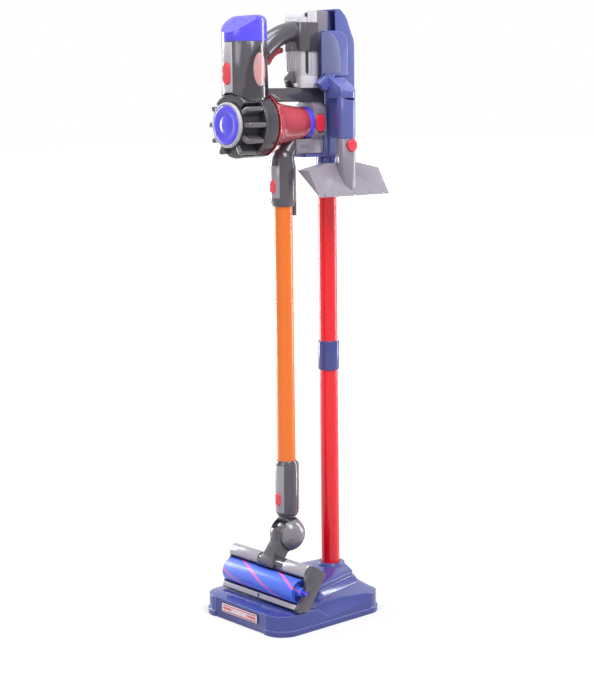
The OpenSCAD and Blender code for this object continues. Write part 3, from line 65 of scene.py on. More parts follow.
def plastic(name, ownLook):
    # moulded or extruded plastic: mottled colour, edges painted lighter (partly wear, partly painted highlight), fine
    # grain and faint scratches
    look = {**plasticUsual, **ownLook}
    mat = bpy.data.materials.new(name)
    mat.use_nodes = True
    tree = mat.node_tree
    links = tree.links
    shader = tree.nodes["Principled BSDF"]
    shader.inputs["Coat Weight"].default_value = look["coat"]
    shader.inputs["Coat Roughness"].default_value = look["coatRoughness"]
    shader.inputs["Metallic"].default_value = look["metal"]
    shader.inputs["Transmission Weight"].default_value = look["clear"]
    shader.inputs["IOR"].default_value = look["ior"]

    place = tree.nodes.new("ShaderNodeTexCoord")
    cloud = tree.nodes.new("ShaderNodeTexNoise")
    cloud.inputs["Scale"].default_value = look["cloudScale"]
    cloud.inputs["Detail"].default_value = 4
    links.new(place.outputs["Object"], cloud.inputs["Vector"])
    tint = tree.nodes.new("ShaderNodeMix")
    tint.data_type = "RGBA"
    tint.inputs["A"].default_value = rgb(*look["dark"])
    tint.inputs["B"].default_value = rgb(*look["light"])
    links.new(cloud.outputs["Fac"], tint.inputs["Factor"])

    # the look's edge colour is mixed in along sharp edges: partly wear, partly a painted highlight
    edge = tree.nodes.new("ShaderNodeBevel")
    edge.samples = 6
    edge.inputs["Radius"].default_value = look["edgeWidth"] * mm
    flat = tree.nodes.new("ShaderNodeNewGeometry")
    match = tree.nodes.new("ShaderNodeVectorMath")
    match.operation = "DOT_PRODUCT"
    links.new(edge.outputs["Normal"], match.inputs[0])
    links.new(flat.outputs["Normal"], match.inputs[1])
    ramp = tree.nodes.new("ShaderNodeMapRange")
    ramp.inputs["From Min"].default_value = look["edgeStart"]
    ramp.inputs["From Max"].default_value = look["edgeFull"]
    ramp.inputs["To Max"].default_value = look["edgeShow"]
    links.new(match.outputs["Value"], ramp.inputs["Value"])
    wearAndEdgeHighlight = tree.nodes.new("ShaderNodeMix")
    wearAndEdgeHighlight.data_type = "RGBA"
    wearAndEdgeHighlight.inputs["B"].default_value = rgb(*look["edge"])
    links.new(ramp.outputs["Result"], wearAndEdgeHighlight.inputs["Factor"])
    links.new(tint.outputs["Result"], wearAndEdgeHighlight.inputs["A"])
    links.new(wearAndEdgeHighlight.outputs["Result"], shader.inputs["Base Color"])

    scratch = tree.nodes.new("ShaderNodeTexNoise")
    scratch.inputs["Scale"].default_value = look["scratchScale"]
    scratch.inputs["Detail"].default_value = 6
    links.new(place.outputs["Object"], scratch.inputs["Vector"])
    rough = tree.nodes.new("ShaderNodeMapRange")
    rough.inputs["From Min"].default_value = look["scratchLow"]
    rough.inputs["From Max"].default_value = look["scratchHigh"]
    rough.inputs["To Min"].default_value = look["rough"] - look["roughLess"]
    rough.inputs["To Max"].default_value = look["rough"] + look["roughMore"]
    links.new(scratch.outputs["Fac"], rough.inputs["Value"])
    links.new(rough.outputs["Result"], shader.inputs["Roughness"])

    grain = tree.nodes.new("ShaderNodeTexNoise")
    grain.inputs["Scale"].default_value = look["grainScale"]
    grain.inputs["Detail"].default_value = 2
    links.new(place.outputs["Object"], grain.inputs["Vector"])
    bump = tree.nodes.new("ShaderNodeBump")
    bump.inputs["Strength"].default_value = look["grain"]
    bump.inputs["Distance"].default_value = look["grainDeep"] * mm
    links.new(grain.outputs["Fac"], bump.inputs["Height"])
    links.new(edge.outputs["Normal"], bump.inputs["Normal"])
    links.new(bump.outputs["Normal"], shader.inputs["Normal"])
    return mat


# each look's edge colour is painted along sharp edges, partly as wear and partly as painted highlight; shell_blue's
# wide, strong edge band is painted highlight
looks = {
    "shell_blue": {"dark": (54, 64, 142), "light": (64, 75, 154), "edge": (172, 182, 228), "rough": 0.18, "coat": 0.3,
                   "edgeWidth": 1.3, "edgeShow": 0.7},
    "pole_red": {"dark": (248, 10, 34), "light": (254, 18, 44), "edge": (255, 100, 100), "rough": 0.2, "grain": 0.01,
                 "coat": 0.2},
    "button_red": {"dark": (236, 46, 68), "light": (244, 60, 82), "edge": (255, 140, 150), "rough": 0.22},
    "dark_grey": {"dark": (70, 65, 76), "light": (81, 76, 87), "edge": (168, 164, 176), "rough": 0.2, "coat": 0.5},
    "drum_grey": {"dark": (50, 46, 56), "light": (60, 56, 66), "edge": (200, 196, 208), "rough": 0.2, "coat": 0.5},
    "mid_grey": {"dark": (136, 128, 142), "light": (146, 138, 152), "edge": (226, 220, 230), "rough": 0.3,
                 "grain": 0.01},
    "light_grey": {"dark": (188, 184, 193), "light": (202, 198, 207), "edge": (246, 244, 250), "rough": 0.3,
                   "coat": 0.2, "coatRoughness": 0.2},
    "badge_pink": {"dark": (204, 146, 150), "light": (216, 162, 164), "edge": (255, 244, 244), "rough": 0.3},
    "cap_violet": {"dark": (82, 70, 242), "light": (94, 82, 253), "edge": (150, 142, 255), "rough": 0.2},
    "white": {"dark": (226, 208, 216), "light": (238, 222, 230), "edge": (250, 250, 250), "rough": 0.35},
    "wand_orange": {"dark": (248, 116, 8), "light": (254, 126, 18), "edge": (255, 190, 120), "rough": 0.2,
                    "grain": 0.01, "coat": 0.25},
    "cell_green": {"dark": (46, 98, 60), "light": (60, 120, 74), "edge": (110, 160, 120), "rough": 0.35},
    "roller_blue": {"dark": (66, 100, 230), "light": (88, 126, 244), "edge": (150, 170, 255), "rough": 0.36,
                    "coat": 0.25, "coatRoughness": 0.3},
    "steel": {"dark": (170, 170, 176), "light": (196, 196, 202), "edge": (226, 226, 230), "rough": 0.3, "metal": 1},
    "bin_clear_red": {"dark": (232, 90, 102), "light": (242, 112, 122), "edge": (250, 150, 156), "rough": 0.14,
                      "clear": 0.3, "coat": 0.6},
    # near black with no coat: painted shade for the openings between the drum's ribs
    "drum_gap_shade": {"dark": (26, 22, 30), "light": (34, 30, 38), "edge": (70, 66, 78), "rough": 0.6, "coat": 0},
    "dock_blue": {"dark": (84, 92, 164), "light": (95, 104, 175), "edge": (180, 188, 230), "rough": 0.2, "coat": 0.3},
    "battery_silver": {"dark": (206, 202, 211), "light": (220, 216, 224), "edge": (252, 250, 254), "rough": 0.16,
                       "coat": 0.5},
    "bar_silver": {"dark": (156, 152, 162), "light": (172, 168, 178), "edge": (236, 234, 240), "rough": 0.28},
    "rib_grey": {"dark": (84, 79, 90), "light": (96, 91, 102), "edge": (214, 210, 220), "rough": 0.16, "coat": 0.6},
    "arch_dark": {"dark": (38, 34, 42), "light": (46, 42, 50), "edge": (190, 186, 196), "rough": 0.2, "coat": 0.5},
    "arm_inlay": {"dark": (88, 93, 140), "light": (97, 103, 149), "edge": (176, 182, 222), "rough": 0.3},
    "trigger_red": {"dark": (150, 18, 40), "light": (170, 26, 50), "edge": (236, 90, 110), "rough": 0.25},
    "ball_grey": {"dark": (124, 118, 129), "light": (138, 132, 143), "edge": (206, 202, 212), "rough": 0.16,
                  "coat": 0.6},
    "collar_silver": {"dark": (150, 145, 155), "light": (166, 161, 171), "edge": (236, 233, 240), "rough": 0.16,
                      "coat": 0.6},
    # near black: painted shade on the thin sheets that stand for the battery's slots
    "slot_dark": {"dark": (40, 38, 44), "light": (52, 49, 56), "edge": (150, 147, 156), "rough": 0.3},
}
finishes = {name: plastic(name, look) for name, look in looks.items()}


def stripes(mat, look):
    # coloured strands wound round a roller that lies along X, painted into the plastic's tint
    tree = mat.node_tree
    links = tree.links
    place = tree.nodes.new("ShaderNodeTexCoord")
    centre = tree.nodes.new("ShaderNodeMapping")
    centre.inputs["Location"].default_value = (0, -look["y"] * mm, -look["z"] * mm)
    links.new(place.outputs["Object"], centre.inputs["Vector"])
    split = tree.nodes.new("ShaderNodeSeparateXYZ")
    links.new(centre.outputs["Vector"], split.inputs["Vector"])

    def reckon(kind, a, b):
        node = tree.nodes.new("ShaderNodeMath")
        node.operation = kind
        for socket, value in zip(node.inputs, (a, b)):
            if isinstance(value, (int, float)):
                socket.default_value = value
            else:
                links.new(value, socket)
        return node.outputs[0]

    angle = reckon("ARCTAN2", split.outputs["Z"], split.outputs["Y"])
    turn = reckon("MULTIPLY", angle, look["strands"] / (2 * math.pi))
    along = reckon("MULTIPLY", split.outputs["X"], 1 / (look["spacing"] * mm))
    wave = reckon("FRACT", reckon("ADD", reckon("SUBTRACT", along, turn), look["phase"] + 10), 0)
    near = reckon("ABSOLUTE", reckon("SUBTRACT", wave, 0.5), 0)
    band = tree.nodes.new("ShaderNodeMapRange")
    band.inputs["From Min"].default_value = look["half"] + look["soft"]
    band.inputs["From Max"].default_value = look["half"]
    links.new(near, band.inputs["Value"])
    paint = tree.nodes.new("ShaderNodeMix")
    paint.data_type = "RGBA"
    paint.inputs["B"].default_value = rgb(*look["colour"])
    links.new(band.outputs["Result"], paint.inputs["Factor"])
    base = tree.nodes["Principled BSDF"].inputs["Base Color"]
    links.new(base.links[0].from_socket, paint.inputs["A"])
    links.new(paint.outputs["Result"], base)


def fade(mat, look):
    # a second tint along Y, from the mouth towards the narrow end; on the bin it paints deeper red as painted shade
    tree = mat.node_tree
    links = tree.links
    place = tree.nodes.new("ShaderNodeTexCoord")
    split = tree.nodes.new("ShaderNodeSeparateXYZ")
    links.new(place.outputs["Object"], split.inputs["Vector"])
    base = tree.nodes["Principled BSDF"].inputs["Base Color"]
    for near, far, colour in look["bands"]:
        reach = tree.nodes.new("ShaderNodeMapRange")
        reach.interpolation_type = "SMOOTHSTEP"
        reach.inputs["From Min"].default_value = near * mm
        reach.inputs["From Max"].default_value = far * mm
        links.new(split.outputs["Y"], reach.inputs["Value"])
        tintOver = tree.nodes.new("ShaderNodeMix")
        tintOver.data_type = "RGBA"
        tintOver.inputs["B"].default_value = rgb(*colour)
        links.new(reach.outputs["Result"], tintOver.inputs["Factor"])
        links.new(base.links[0].from_socket, tintOver.inputs["A"])
        links.new(tintOver.outputs["Result"], base)


# the flared mouth and the narrow end are painted a deeper red, as painted shade of the clear plastic; the paler
# middle between them stands for light coming through
binPaintedShade = {"bands": [(-38, -46, (206, 22, 40)), (8, 24, (206, 60, 74))]}
fade(finishes["bin_clear_red"], binPaintedShade)

rollerPaint = {"y": -49, "z": 52.5, "strands": 3, "spacing": 75, "phase": 0.81, "half": 0.055, "soft": 0.012,
               "colour": (216, 110, 196)}
stripes(finishes["roller_blue"], rollerPaint)

ownFinish = {  # shades that differ from the slot's usual one
    "trigger": "trigger_red", "ball_shell_right": "ball_grey", "ball_shell_left": "ball_grey",
    "roller_axle": "cap_violet", "dock_head": "dock_blue", "dock_arm_right": "dock_blue",
    "dock_arm_left": "dock_blue", "dock_post": "dock_blue", "tool_socket": "dock_blue", "dock_collar": "dock_blue",
    "battery_case": "battery_silver", "battery_foot": "battery_silver", "bar_panels": "bar_silver",
}


def finishOf(name):
    return finishes[ownFinish.get(name, slotOf[name])]


for name in slotOf:
    nodes[name].data.materials.clear()
    nodes[name].data.materials.append(finishOf(name))
print("materials on the nodes")


# moulded pieces get rounded edges

def only(piece):
    bpy.ops.object.select_all(action="DESELECT")
    piece.select_set(True)
    bpy.context.view_layer.objects.active = piece


def keep(piece, body, finish, replaced=()):
    # a finished piece rides on its body, takes its slot and stands for the nodes it replaces
    piece.data.materials.clear()
    piece.data.materials.append(finish)
    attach(piece, body)
    if replaced:
        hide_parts(*replaced)
    return piece


def rounded(piece, width, steps, angle=28, harden=False, outer="MITER_SHARP"):
    # rounded edges as real geometry, where two faces meet at more than the angle
    only(piece)
    rounding = piece.modifiers.new("edges", "BEVEL")
    rounding.width = width * mm
    rounding.segments = steps
    rounding.limit_method = "ANGLE"
    rounding.angle_limit = math.radians(angle)
    rounding.harden_normals = harden
    rounding.miter_outer = outer
    bpy.ops.object.modifier_apply(modifier=rounding.name)


def softEdges(name, look):
    # a merged copy of the node, with its coplanar triangles joined and its sharp edges rounded
    piece = bpy.data.objects.new(name + "_moulded", nodes[name].data.copy())
    bpy.context.scene.collection.objects.link(piece)
    only(piece)
    bpy.ops.object.mode_set(mode="EDIT")
    bpy.ops.mesh.select_all(action="SELECT")
    bpy.ops.mesh.remove_doubles(threshold=0.00001)
    bpy.ops.mesh.dissolve_limited(angle_limit=math.radians(0.3))
    bpy.ops.object.mode_set(mode="OBJECT")
    bpy.ops.object.shade_smooth()
    rounded(piece, look["edge"], look.get("steps", 2), harden="facets" not in look, outer="MITER_ARC")
    if "facets" in look:
        bpy.ops.object.shade_smooth_by_angle(angle=math.radians(look["facets"]))
    return keep(piece, bodyOf[name], finishOf(name), (name,))


edgeSizes = {  # in mm; facets is the angle in degrees above which faces stay flat
    "base_shell": {"edge": 1.0, "steps": 3, "facets": 26}, "pole_coupler": {"edge": 0.5},
    "dock_head": {"edge": 1.4, "steps": 3},
    "dock_arm_right": {"edge": 1.2, "steps": 3}, "dock_arm_left": {"edge": 1.2, "steps": 3},
    "dock_post": {"edge": 1.0}, "dock_collar": {"edge": 0.6}, "tool_socket": {"edge": 0.9, "steps": 3},
    "tool_tube": {"edge": 0.5}, "tool_nozzle": {"edge": 0.4, "facets": 24}, "tool_button": {"edge": 1.2, "steps": 4},
    "housing_right": {"edge": 0.7}, "housing_left": {"edge": 0.7},
    "front_strip": {"edge": 0.4}, "power_button": {"edge": 1.0, "steps": 4}, "badge_right": {"edge": 0.6},
    "badge_left": {"edge": 0.6},
    "filter_rim": {"edge": 0.5}, "bin_ring": {"edge": 0.5},
    "bin_end": {"edge": 0.9, "steps": 3}, "bin_button": {"edge": 1.0, "steps": 4}, "inlet_block": {"edge": 0.8},
    "battery_case": {"edge": 0.5}, "battery_foot": {"edge": 1.0, "steps": 3}, "battery_latch": {"edge": 0.5},
    "rear_spine": {"edge": 0.8}, "trigger": {"edge": 0.9, "steps": 3}, "collar_upper": {"edge": 0.8, "steps": 3},
    "collar_lower": {"edge": 0.8, "steps": 3}, "wand_button_upper": {"edge": 1.0, "steps": 4},
    "wand_button_lower": {"edge": 1.0, "steps": 4}, "swivel_stem": {"edge": 0.5},
    "ball_shell_right": {"edge": 0.5}, "ball_shell_left": {"edge": 0.5}, "head_neck": {"edge": 0.8, "steps": 3},
    "head_frame": {"edge": 0.8}, "bar_panels": {"edge": 0.4}, "lip_strip": {"edge": 0.4},
    "roller": {"edge": 1.2, "steps": 3}, "rear_wheels": {"edge": 0.8},
}
for name, look in edgeSizes.items():
    softEdges(name, look)
print("rounded edges on", len(edgeSizes), "pieces")


# turned pieces: a profile spun about an axis

def drawn(name, points):
    # a new piece that starts as one point and is drawn out from point to point; it is left in edit mode
    bpy.ops.object.select_all(action="DESELECT")
    bpy.ops.mesh.primitive_circle_add(vertices=3, radius=mm, location=(0, 0, 0))
    piece = bpy.context.object
    piece.name = name
    bpy.ops.object.mode_set(mode="EDIT")
    bpy.ops.mesh.select_all(action="SELECT")
    bpy.ops.mesh.merge(type="CENTER")
    bpy.ops.transform.translate(value=points[0])
    for here, there in zip(points, points[1:]):
        bpy.ops.mesh.extrude_region_move(TRANSFORM_OT_translate={"value": there - here})
    return piece


def turned(name, profile, centre, axis, turn=360, start=0, steps=96):
    # profile points are (radius, place along the axis) in mm; the spin starts at an angle from straight down or front
    lean = math.radians(start)
    if axis == "Y":
        along, out = Vector((0, 1, 0)), Vector((math.sin(lean), 0, -math.cos(lean)))
    else:
        along, out = Vector((0, 0, 1)), Vector((-math.sin(lean), -math.cos(lean), 0))
    middle = Vector(centre) * mm
    piece = drawn(name, [middle + out * (radius * mm) + along * (place * mm) for radius, place in profile])
    bpy.ops.mesh.select_all(action="SELECT")
    bpy.ops.mesh.spin(steps=steps, angle=math.radians(turn), center=middle, axis=along)
    bpy.ops.mesh.select_all(action="SELECT")
    bpy.ops.mesh.remove_doubles(threshold=0.00001)
    if turn < 360:
        bpy.ops.mesh.select_all(action="DESELECT")
        bpy.ops.mesh.select_non_manifold()
        bpy.ops.mesh.fill_holes(sides=0)
        bpy.ops.mesh.select_all(action="SELECT")
    bpy.ops.mesh.normals_make_consistent(inside=False)
    bpy.ops.object.mode_set(mode="OBJECT")
    return piece


def block(name, place, size, turn=(0, 0, 0)):
    # a box at its size and place, in mm, with the turn applied
    bpy.ops.object.select_all(action="DESELECT")
    bpy.ops.mesh.primitive_cube_add(size=1, location=tuple(v * mm for v in place), rotation=turn,
                                    scale=tuple(v * mm for v in size))
    piece = bpy.context.object
    piece.name = name
    bpy.ops.object.transform_apply(location=True, rotation=True, scale=True)
    return piece


def eased(piece, width, steps=3, angle=28, shade=35):
    # rounded edges, then smooth shading up to an angle
    rounded(piece, width, steps, angle)
    bpy.ops.object.shade_smooth_by_angle(angle=math.radians(shade))
    return piece


def joined(name, pieces):
    only(pieces[0])
    for piece in pieces[1:]:
        piece.select_set(True)
    bpy.ops.object.join()
    pieces[0].name = name
    return pieces[0]


def cut(piece, tool, kind="DIFFERENCE"):
    only(piece)
    trim = piece.modifiers.new("trim", "BOOLEAN")
    trim.operation = kind
    trim.object = tool
    trim.solver = "EXACT"
    bpy.ops.object.modifier_apply(modifier=trim.name)
    bpy.data.objects.remove(tool)
    return piece


def prism(name, outline, axis, low, high):
    # an outline in mm, given as (y, z), (x, z) or (x, y) points, drawn out along X, Y or Z
    spot = {"X": lambda a, b: (low, a, b), "Y": lambda a, b: (a, low, b), "Z": lambda a, b: (a, b, low)}[axis]
    along = {"X": (1, 0, 0), "Y": (0, 1, 0), "Z": (0, 0, 1)}[axis]
    points = [Vector(spot(a, b)) * mm for a, b in outline]
    piece = drawn(name, points + points[:1])
    bpy.ops.mesh.select_all(action="SELECT")
    bpy.ops.mesh.remove_doubles(threshold=0.00001)
    bpy.ops.mesh.edge_face_add()
    bpy.ops.mesh.extrude_region_move(TRANSFORM_OT_translate={"value": Vector(along) * (high - low) * mm})
    bpy.ops.mesh.select_all(action="SELECT")
    bpy.ops.mesh.normals_make_consistent(inside=False)
    bpy.ops.object.mode_set(mode="OBJECT")
    return piece


# ribbed cyclone drum

drum = {  # mm; places along Y, angles from straight down
    "axis": (0, 0, 658), "front": -97, "seam": -69.5, "seamBack": -66, "back": -46.5, "coreFront": 29.5,
    "coreBack": 32, "shell": 40, "saddleIn": 26, "saddleStart": 134, "seamOut": 42.2, "seamSoft": 0.8, "band": 40.8,
    "bandGroove": 1.2, "skirtOut": 42.8, "skirtIn": 30, "skirtHalf": 22, "skirtFront": -88,
}
rib = {"out": 42.6, "in": 28, "thick": 7, "round": 3, "step": 30, "each": 4, "back": -69}

# the core behind the ribs is painted near black, as painted shade in the openings between them
drumCore = turned("drum_core", [(0, drum["front"] + 1), (drum["coreFront"] - 1, drum["front"] + 1),
                                (drum["coreFront"], drum["front"] + 2), (drum["coreBack"], drum["seam"] - 4),
                                (drum["coreBack"], drum["seam"]), (0, drum["seam"])], drum["axis"], "Y")
keep(eased(drumCore, 0.4, 2), "cleaner", finishes["drum_gap_shade"])

seamSoft, bandStart = drum["seamSoft"], drum["seamBack"] + drum["bandGroove"]
band = turned("drum_band", [(0, drum["seam"]), (drum["seamOut"] - seamSoft, drum["seam"]),
                            (drum["seamOut"], drum["seam"] + seamSoft),
                            (drum["seamOut"], drum["seamBack"] - seamSoft),
                            (drum["seamOut"] - seamSoft, drum["seamBack"]), (drum["band"] - 1, drum["seamBack"]),
                            (drum["band"] - 1, bandStart), (drum["band"], bandStart),
                            (drum["band"], drum["back"] - 1), (drum["band"] - 1, drum["back"]), (0, drum["back"])],
              drum["axis"], "Y", steps=128)
saddle = turned("drum_saddle", [(drum["saddleIn"], drum["front"] + 2), (drum["shell"] - 2, drum["front"] + 2),
                                (drum["shell"], drum["front"] + 4), (drum["shell"], drum["seam"]),
                                (drum["saddleIn"], drum["seam"]), (drum["saddleIn"], drum["front"] + 2)],
                drum["axis"], "Y", 360 - 2 * drum["saddleStart"], drum["saddleStart"], 48)
skirt = turned("drum_skirt", [(drum["skirtIn"], drum["skirtFront"]), (drum["skirtOut"] - 2, drum["skirtFront"]),
                              (drum["skirtOut"], drum["skirtFront"] + 2), (drum["skirtOut"], drum["back"] - 1),
                              (drum["skirtOut"] - 1, drum["back"]), (drum["skirtIn"], drum["back"]),
                              (drum["skirtIn"], drum["skirtFront"])],
               drum["axis"], "Y", 2 * drum["skirtHalf"], -drum["skirtHalf"], 24)

ribs = []
ribMiddle = (rib["out"] + rib["in"]) / 2
for side in (-1, 1):
    for count in range(1, rib["each"] + 1):
        lean = math.radians(side * count * rib["step"])
        place = (ribMiddle * math.sin(lean), (drum["front"] + rib["back"]) / 2,
                 drum["axis"][2] - ribMiddle * math.cos(lean))
        size = (rib["thick"], rib["back"] - drum["front"], rib["out"] - rib["in"])
        ribs.append(eased(block("drum_rib", place, size, (0, -lean, 0)), rib["round"], 4))
keep(joined("drum_ribs", ribs), "cleaner", finishes["rib_grey"])
shellPieces = [eased(band, 0.3, 2), eased(saddle, 0.6, 2), eased(skirt, 0.6, 2)]
keep(joined("drum_shell", shellPieces), "cleaner", finishes["drum_grey"], ("cyclone_drum",))

# dust bin: an open shell that flares towards the drum
trumpet = {"wall": 1.6, "outer": [(42.2, -46.2), (42.2, -44.6), (40.8, -42.6), (36.6, -37.5), (32.4, -31),
                                  (29.6, -24), (27.2, -16), (25.3, -7), (23.8, 2), (22.6, 11), (21.8, 18),
                                  (21.4, 23.4)]}
trumpetIn = [(radius - trumpet["wall"], place) for radius, place in reversed(trumpet["outer"])]
trumpetPiece = turned("bin_trumpet", trumpet["outer"] + trumpetIn + trumpet["outer"][:1], drum["axis"], "Y",
                      steps=128)
keep(eased(trumpetPiece, 0.3, 2, 40, 50), "cleaner", finishes["bin_clear_red"], ("dust_bin",))

# filter disc: a shallow dome with a ring pressed into it; the profile is (radius, depth behind the front)
disc = {"front": -103, "profile": [(0, 0.3), (4, 0.2), (8.5, 0.5), (11, 1.5), (13, 1.9), (15, 1.7), (19, 0.6),
                                   (22.5, 0.5), (24.3, 1.2), (25, 2.4), (25, 7), (0, 7)]}
discFace = turned("disc_domed", [(radius, disc["front"] + depth) for radius, depth in disc["profile"]],
                  drum["axis"], "Y")
keep(eased(discFace, 0.5, 3, 40, 50), "cleaner", finishes["cap_violet"], ("filter_disc",))
print("drum and disc")


# filter cap: a round cap with a sloping facet and slots in it

cap = {"axis": (0, -69, 0), "low": 762.3, "top": 795, "out": 29, "round": 8, "roundSteps": 8, "facetFront": 773,
       "facetBack": -66.5, "facetEdge": 1.6, "slots": 6, "slotStep": 6, "slotWide": 1.5, "slotDeep": 1.4,
       "slotShare": 0.72}
capProfile = [(0, cap["low"]), (cap["out"], cap["low"]), (cap["out"], cap["top"] - cap["round"])]
for step in range(1, cap["roundSteps"] + 1):
    bend = math.radians(90 * step / cap["roundSteps"])
    capProfile.append((cap["out"] - cap["round"] * (1 - math.cos(bend)),
                       cap["top"] - cap["round"] * (1 - math.sin(bend))))
capPiece = turned("cap_slotted", capProfile + [(0, cap["top"])], cap["axis"], "Z")

capFront = cap["axis"][1] - cap["out"]
facetRun, facetRise = cap["facetBack"] - capFront, cap["top"] - cap["facetFront"]
only(capPiece)
bpy.ops.object.mode_set(mode="EDIT")
bpy.ops.mesh.select_all(action="SELECT")
bpy.ops.mesh.bisect(plane_co=(0, cap["facetBack"] * mm, cap["top"] * mm),
                    plane_no=Vector((0, -facetRise, facetRun)).normalized(), use_fill=True, clear_outer=True)
bpy.ops.object.mode_set(mode="OBJECT")
eased(capPiece, cap["facetEdge"], 4, 20)

slotLong = math.hypot(facetRise, facetRun) * cap["slotShare"]
for number in range(cap["slots"]):
    across = (number - (cap["slots"] - 1) / 2) * cap["slotStep"]
    place = (across, (capFront + cap["facetBack"]) / 2, (cap["facetFront"] + cap["top"]) / 2)
    size = (cap["slotWide"], slotLong, 2 * cap["slotDeep"])
    cut(capPiece, block("slot", place, size, (math.atan2(facetRise, facetRun), 0, 0)))
bpy.ops.object.shade_smooth_by_angle(angle=math.radians(30))
keep(capPiece, "cleaner", finishes["cap_violet"], ("filter_cap",))
print("cap")


# pointed panels round the badges, inlays on the dock arms, dark sheets on the battery's sides with the slots' shade
# painted on

arch = {"outline": [(-23, 692), (23, 692), (19, 706), (17, 727), (13, 741), (7, 752), (0, 759), (-7, 752),
                    (-13, 741), (-17, 727), (-19, 706)],
        "low": 680, "high": 770, "column": -69, "out": 30.25, "from": 12, "to": 40}
panels = {  # outlines as (y, z) and reach along x in mm, drawn on both sides
    "dock_inlay": {"outline": [(34, 722), (66.5, 722), (67.5, 740), (66.3, 752), (63, 762), (57.5, 770), (50, 774),
                               (34, 774)],
                   "from": 31, "to": 32.2, "edge": 0.5, "steps": 3, "body": "stand", "slot": "shell_blue",
                   "finish": "arm_inlay"},
    # a dark sheet standing proud of the battery's side, painted with the shade of its slot
    "battery_slot": {"outline": [(17.2, 752), (17.2, 724), (18.1, 722.2), (19.8, 721.4), (21.5, 722.2), (22.4, 724),
                                 (22.4, 752)],
                     "from": 18.4, "to": 19.2, "edge": 0.25, "steps": 2, "body": "cleaner", "slot": "dark_grey",
                     "finish": "slot_dark"},
    "battery_ridge": {"outline": [(24, 750), (24, 722.5), (27.4, 722.5), (27.4, 750)], "from": 18.6, "to": 19.6,
                      "edge": 0.4, "steps": 3, "body": "cleaner", "slot": "light_grey", "finish": "light_grey"},
    "battery_notch": {"outline": [(17, 794.5), (21.5, 794.5), (21.5, 799.5), (17, 799.5)], "from": 18.4, "to": 19.3,
                      "edge": 0.3, "steps": 2, "body": "cleaner", "slot": "dark_grey", "finish": "slot_dark"},
}


def sided(name, look, side):
    # the same outline on the right (1) or the left (-1) side
    low, high = sorted((side * look["from"], side * look["to"]))
    return prism(name, [(y + look.get("column", 0), z) for y, z in look["outline"]], "X", low, high)


for word, side in (("right", 1), ("left", -1)):
    coreProfile = [(0, arch["low"]), (arch["out"], arch["low"]), (arch["out"], arch["high"]), (0, arch["high"])]
    core = turned("core", coreProfile, (0, arch["column"], 0), "Z", steps=128)
    archPiece = cut(sided("badge_arch_" + word, arch, side), core, "INTERSECT")
    keep(eased(archPiece, 0.35, 2), "cleaner", finishes["arch_dark"])
    for name, look in panels.items():
        panel = eased(sided(name + "_" + word, look, side), look["edge"], look["steps"])
        keep(panel, look["body"], finishes[look["finish"]])

roof = {"outline": [(26.5, 690), (26.5, 717), (33, 717), (62.6, 698), (62.6, 690)], "from": 40, "to": 80,
        "plan": [(20, 46.4), (50, 46.4), (54.8, 47.4), (58.9, 50.1), (61.6, 54.2), (62.6, 59), (61.6, 63.8),
                 (58.9, 67.9), (54.8, 70.6), (50, 71.6), (20, 71.6)],
        "low": 680, "high": 730, "edge": 0.8}
roofPiece = prism("socket_roof", roof["outline"], "Y", roof["from"], roof["to"])
cut(roofPiece, prism("plan", roof["plan"], "Z", roof["low"], roof["high"]), "INTERSECT")
keep(eased(roofPiece, roof["edge"]), "stand", finishes["dock_blue"])

collarStrips = {"axis": (0, -8, 0), "thick": 1.5, "half": 35, "edge": 0.35,
                "upper": {"out": 17.45, "low": 562, "high": 604}, "lower": {"out": 16.05, "low": 141, "high": 205}}
for word in ("upper", "lower"):
    out, low, high = collarStrips[word].values()
    under = out - collarStrips["thick"]
    strip = turned("collar_strip_" + word, [(under, low), (out, low), (out, high), (under, high), (under, low)],
                   collarStrips["axis"], "Z", 2 * collarStrips["half"], -collarStrips["half"], 28)
    keep(eased(strip, collarStrips["edge"], 2), "cleaner", finishes["collar_silver"])

tick = {"place": (0, -61.3, 34), "size": (1.8, 1.2, 5.6)}
keep(eased(block("lip_tick", tick["place"], tick["size"]), 0.3, 2), "head", finishes["slot_dark"])

ring = {"axis": (0, 70, 0), "profile": [(13.2, 50), (17.5, 50), (18, 51.5), (18, 54), (17, 55.6), (14.4, 55.6),
                                        (13.2, 54.6), (13.2, 50)]}
keep(eased(turned("pole_seat_ring", ring["profile"], ring["axis"], "Z"), 0.3, 2), "stand",
     finishes["shell_blue"])
print("panels, inlays, slots, roof and ring")


# bare label plate on the base's front, with plain bars

label = {"wide": 74, "middle": 16.8, "high": 12.4, "face": -93.6, "thick": 1.8, "corner": 1.6, "rim": 0.3,
         "barProud": 0.3, "barRound": 0.45,
         "bars": [(0, 20.9, 69, 1.3), (0, 12.7, 69, 1.3), (-25, 16.8, 19, 3.6), (25, 16.8, 19, 3.6)]}  # x, z, size


def plate(name, place, size, corner):
    # a thin plate that faces the front, with round corners and a softened rim
    piece = block(name, place, size)
    bpy.ops.object.mode_set(mode="EDIT")
    bpy.ops.mesh.select_all(action="DESELECT")
    bpy.ops.object.mode_set(mode="OBJECT")
    for edge in piece.data.edges:
        a, b = (piece.data.vertices[i].co for i in edge.vertices)
        edge.select = abs(a.x - b.x) < 1e-7 and abs(a.z - b.z) < 1e-7  # the four edges that run from front to back
    bpy.ops.object.mode_set(mode="EDIT")
    bpy.ops.mesh.bevel(offset=corner * mm, segments=5, affect="EDGES")
    bpy.ops.mesh.select_all(action="DESELECT")
    bpy.ops.object.mode_set(mode="OBJECT")
    front = min(piece.data.polygons, key=lambda f: f.center.y)
    front.select = True
    bpy.ops.object.mode_set(mode="EDIT")
    bpy.ops.mesh.bevel(offset=label["rim"] * mm, segments=3, affect="EDGES")
    bpy.ops.object.mode_set(mode="OBJECT")
    bpy.ops.object.shade_smooth_by_angle(angle=math.radians(35))
    return piece


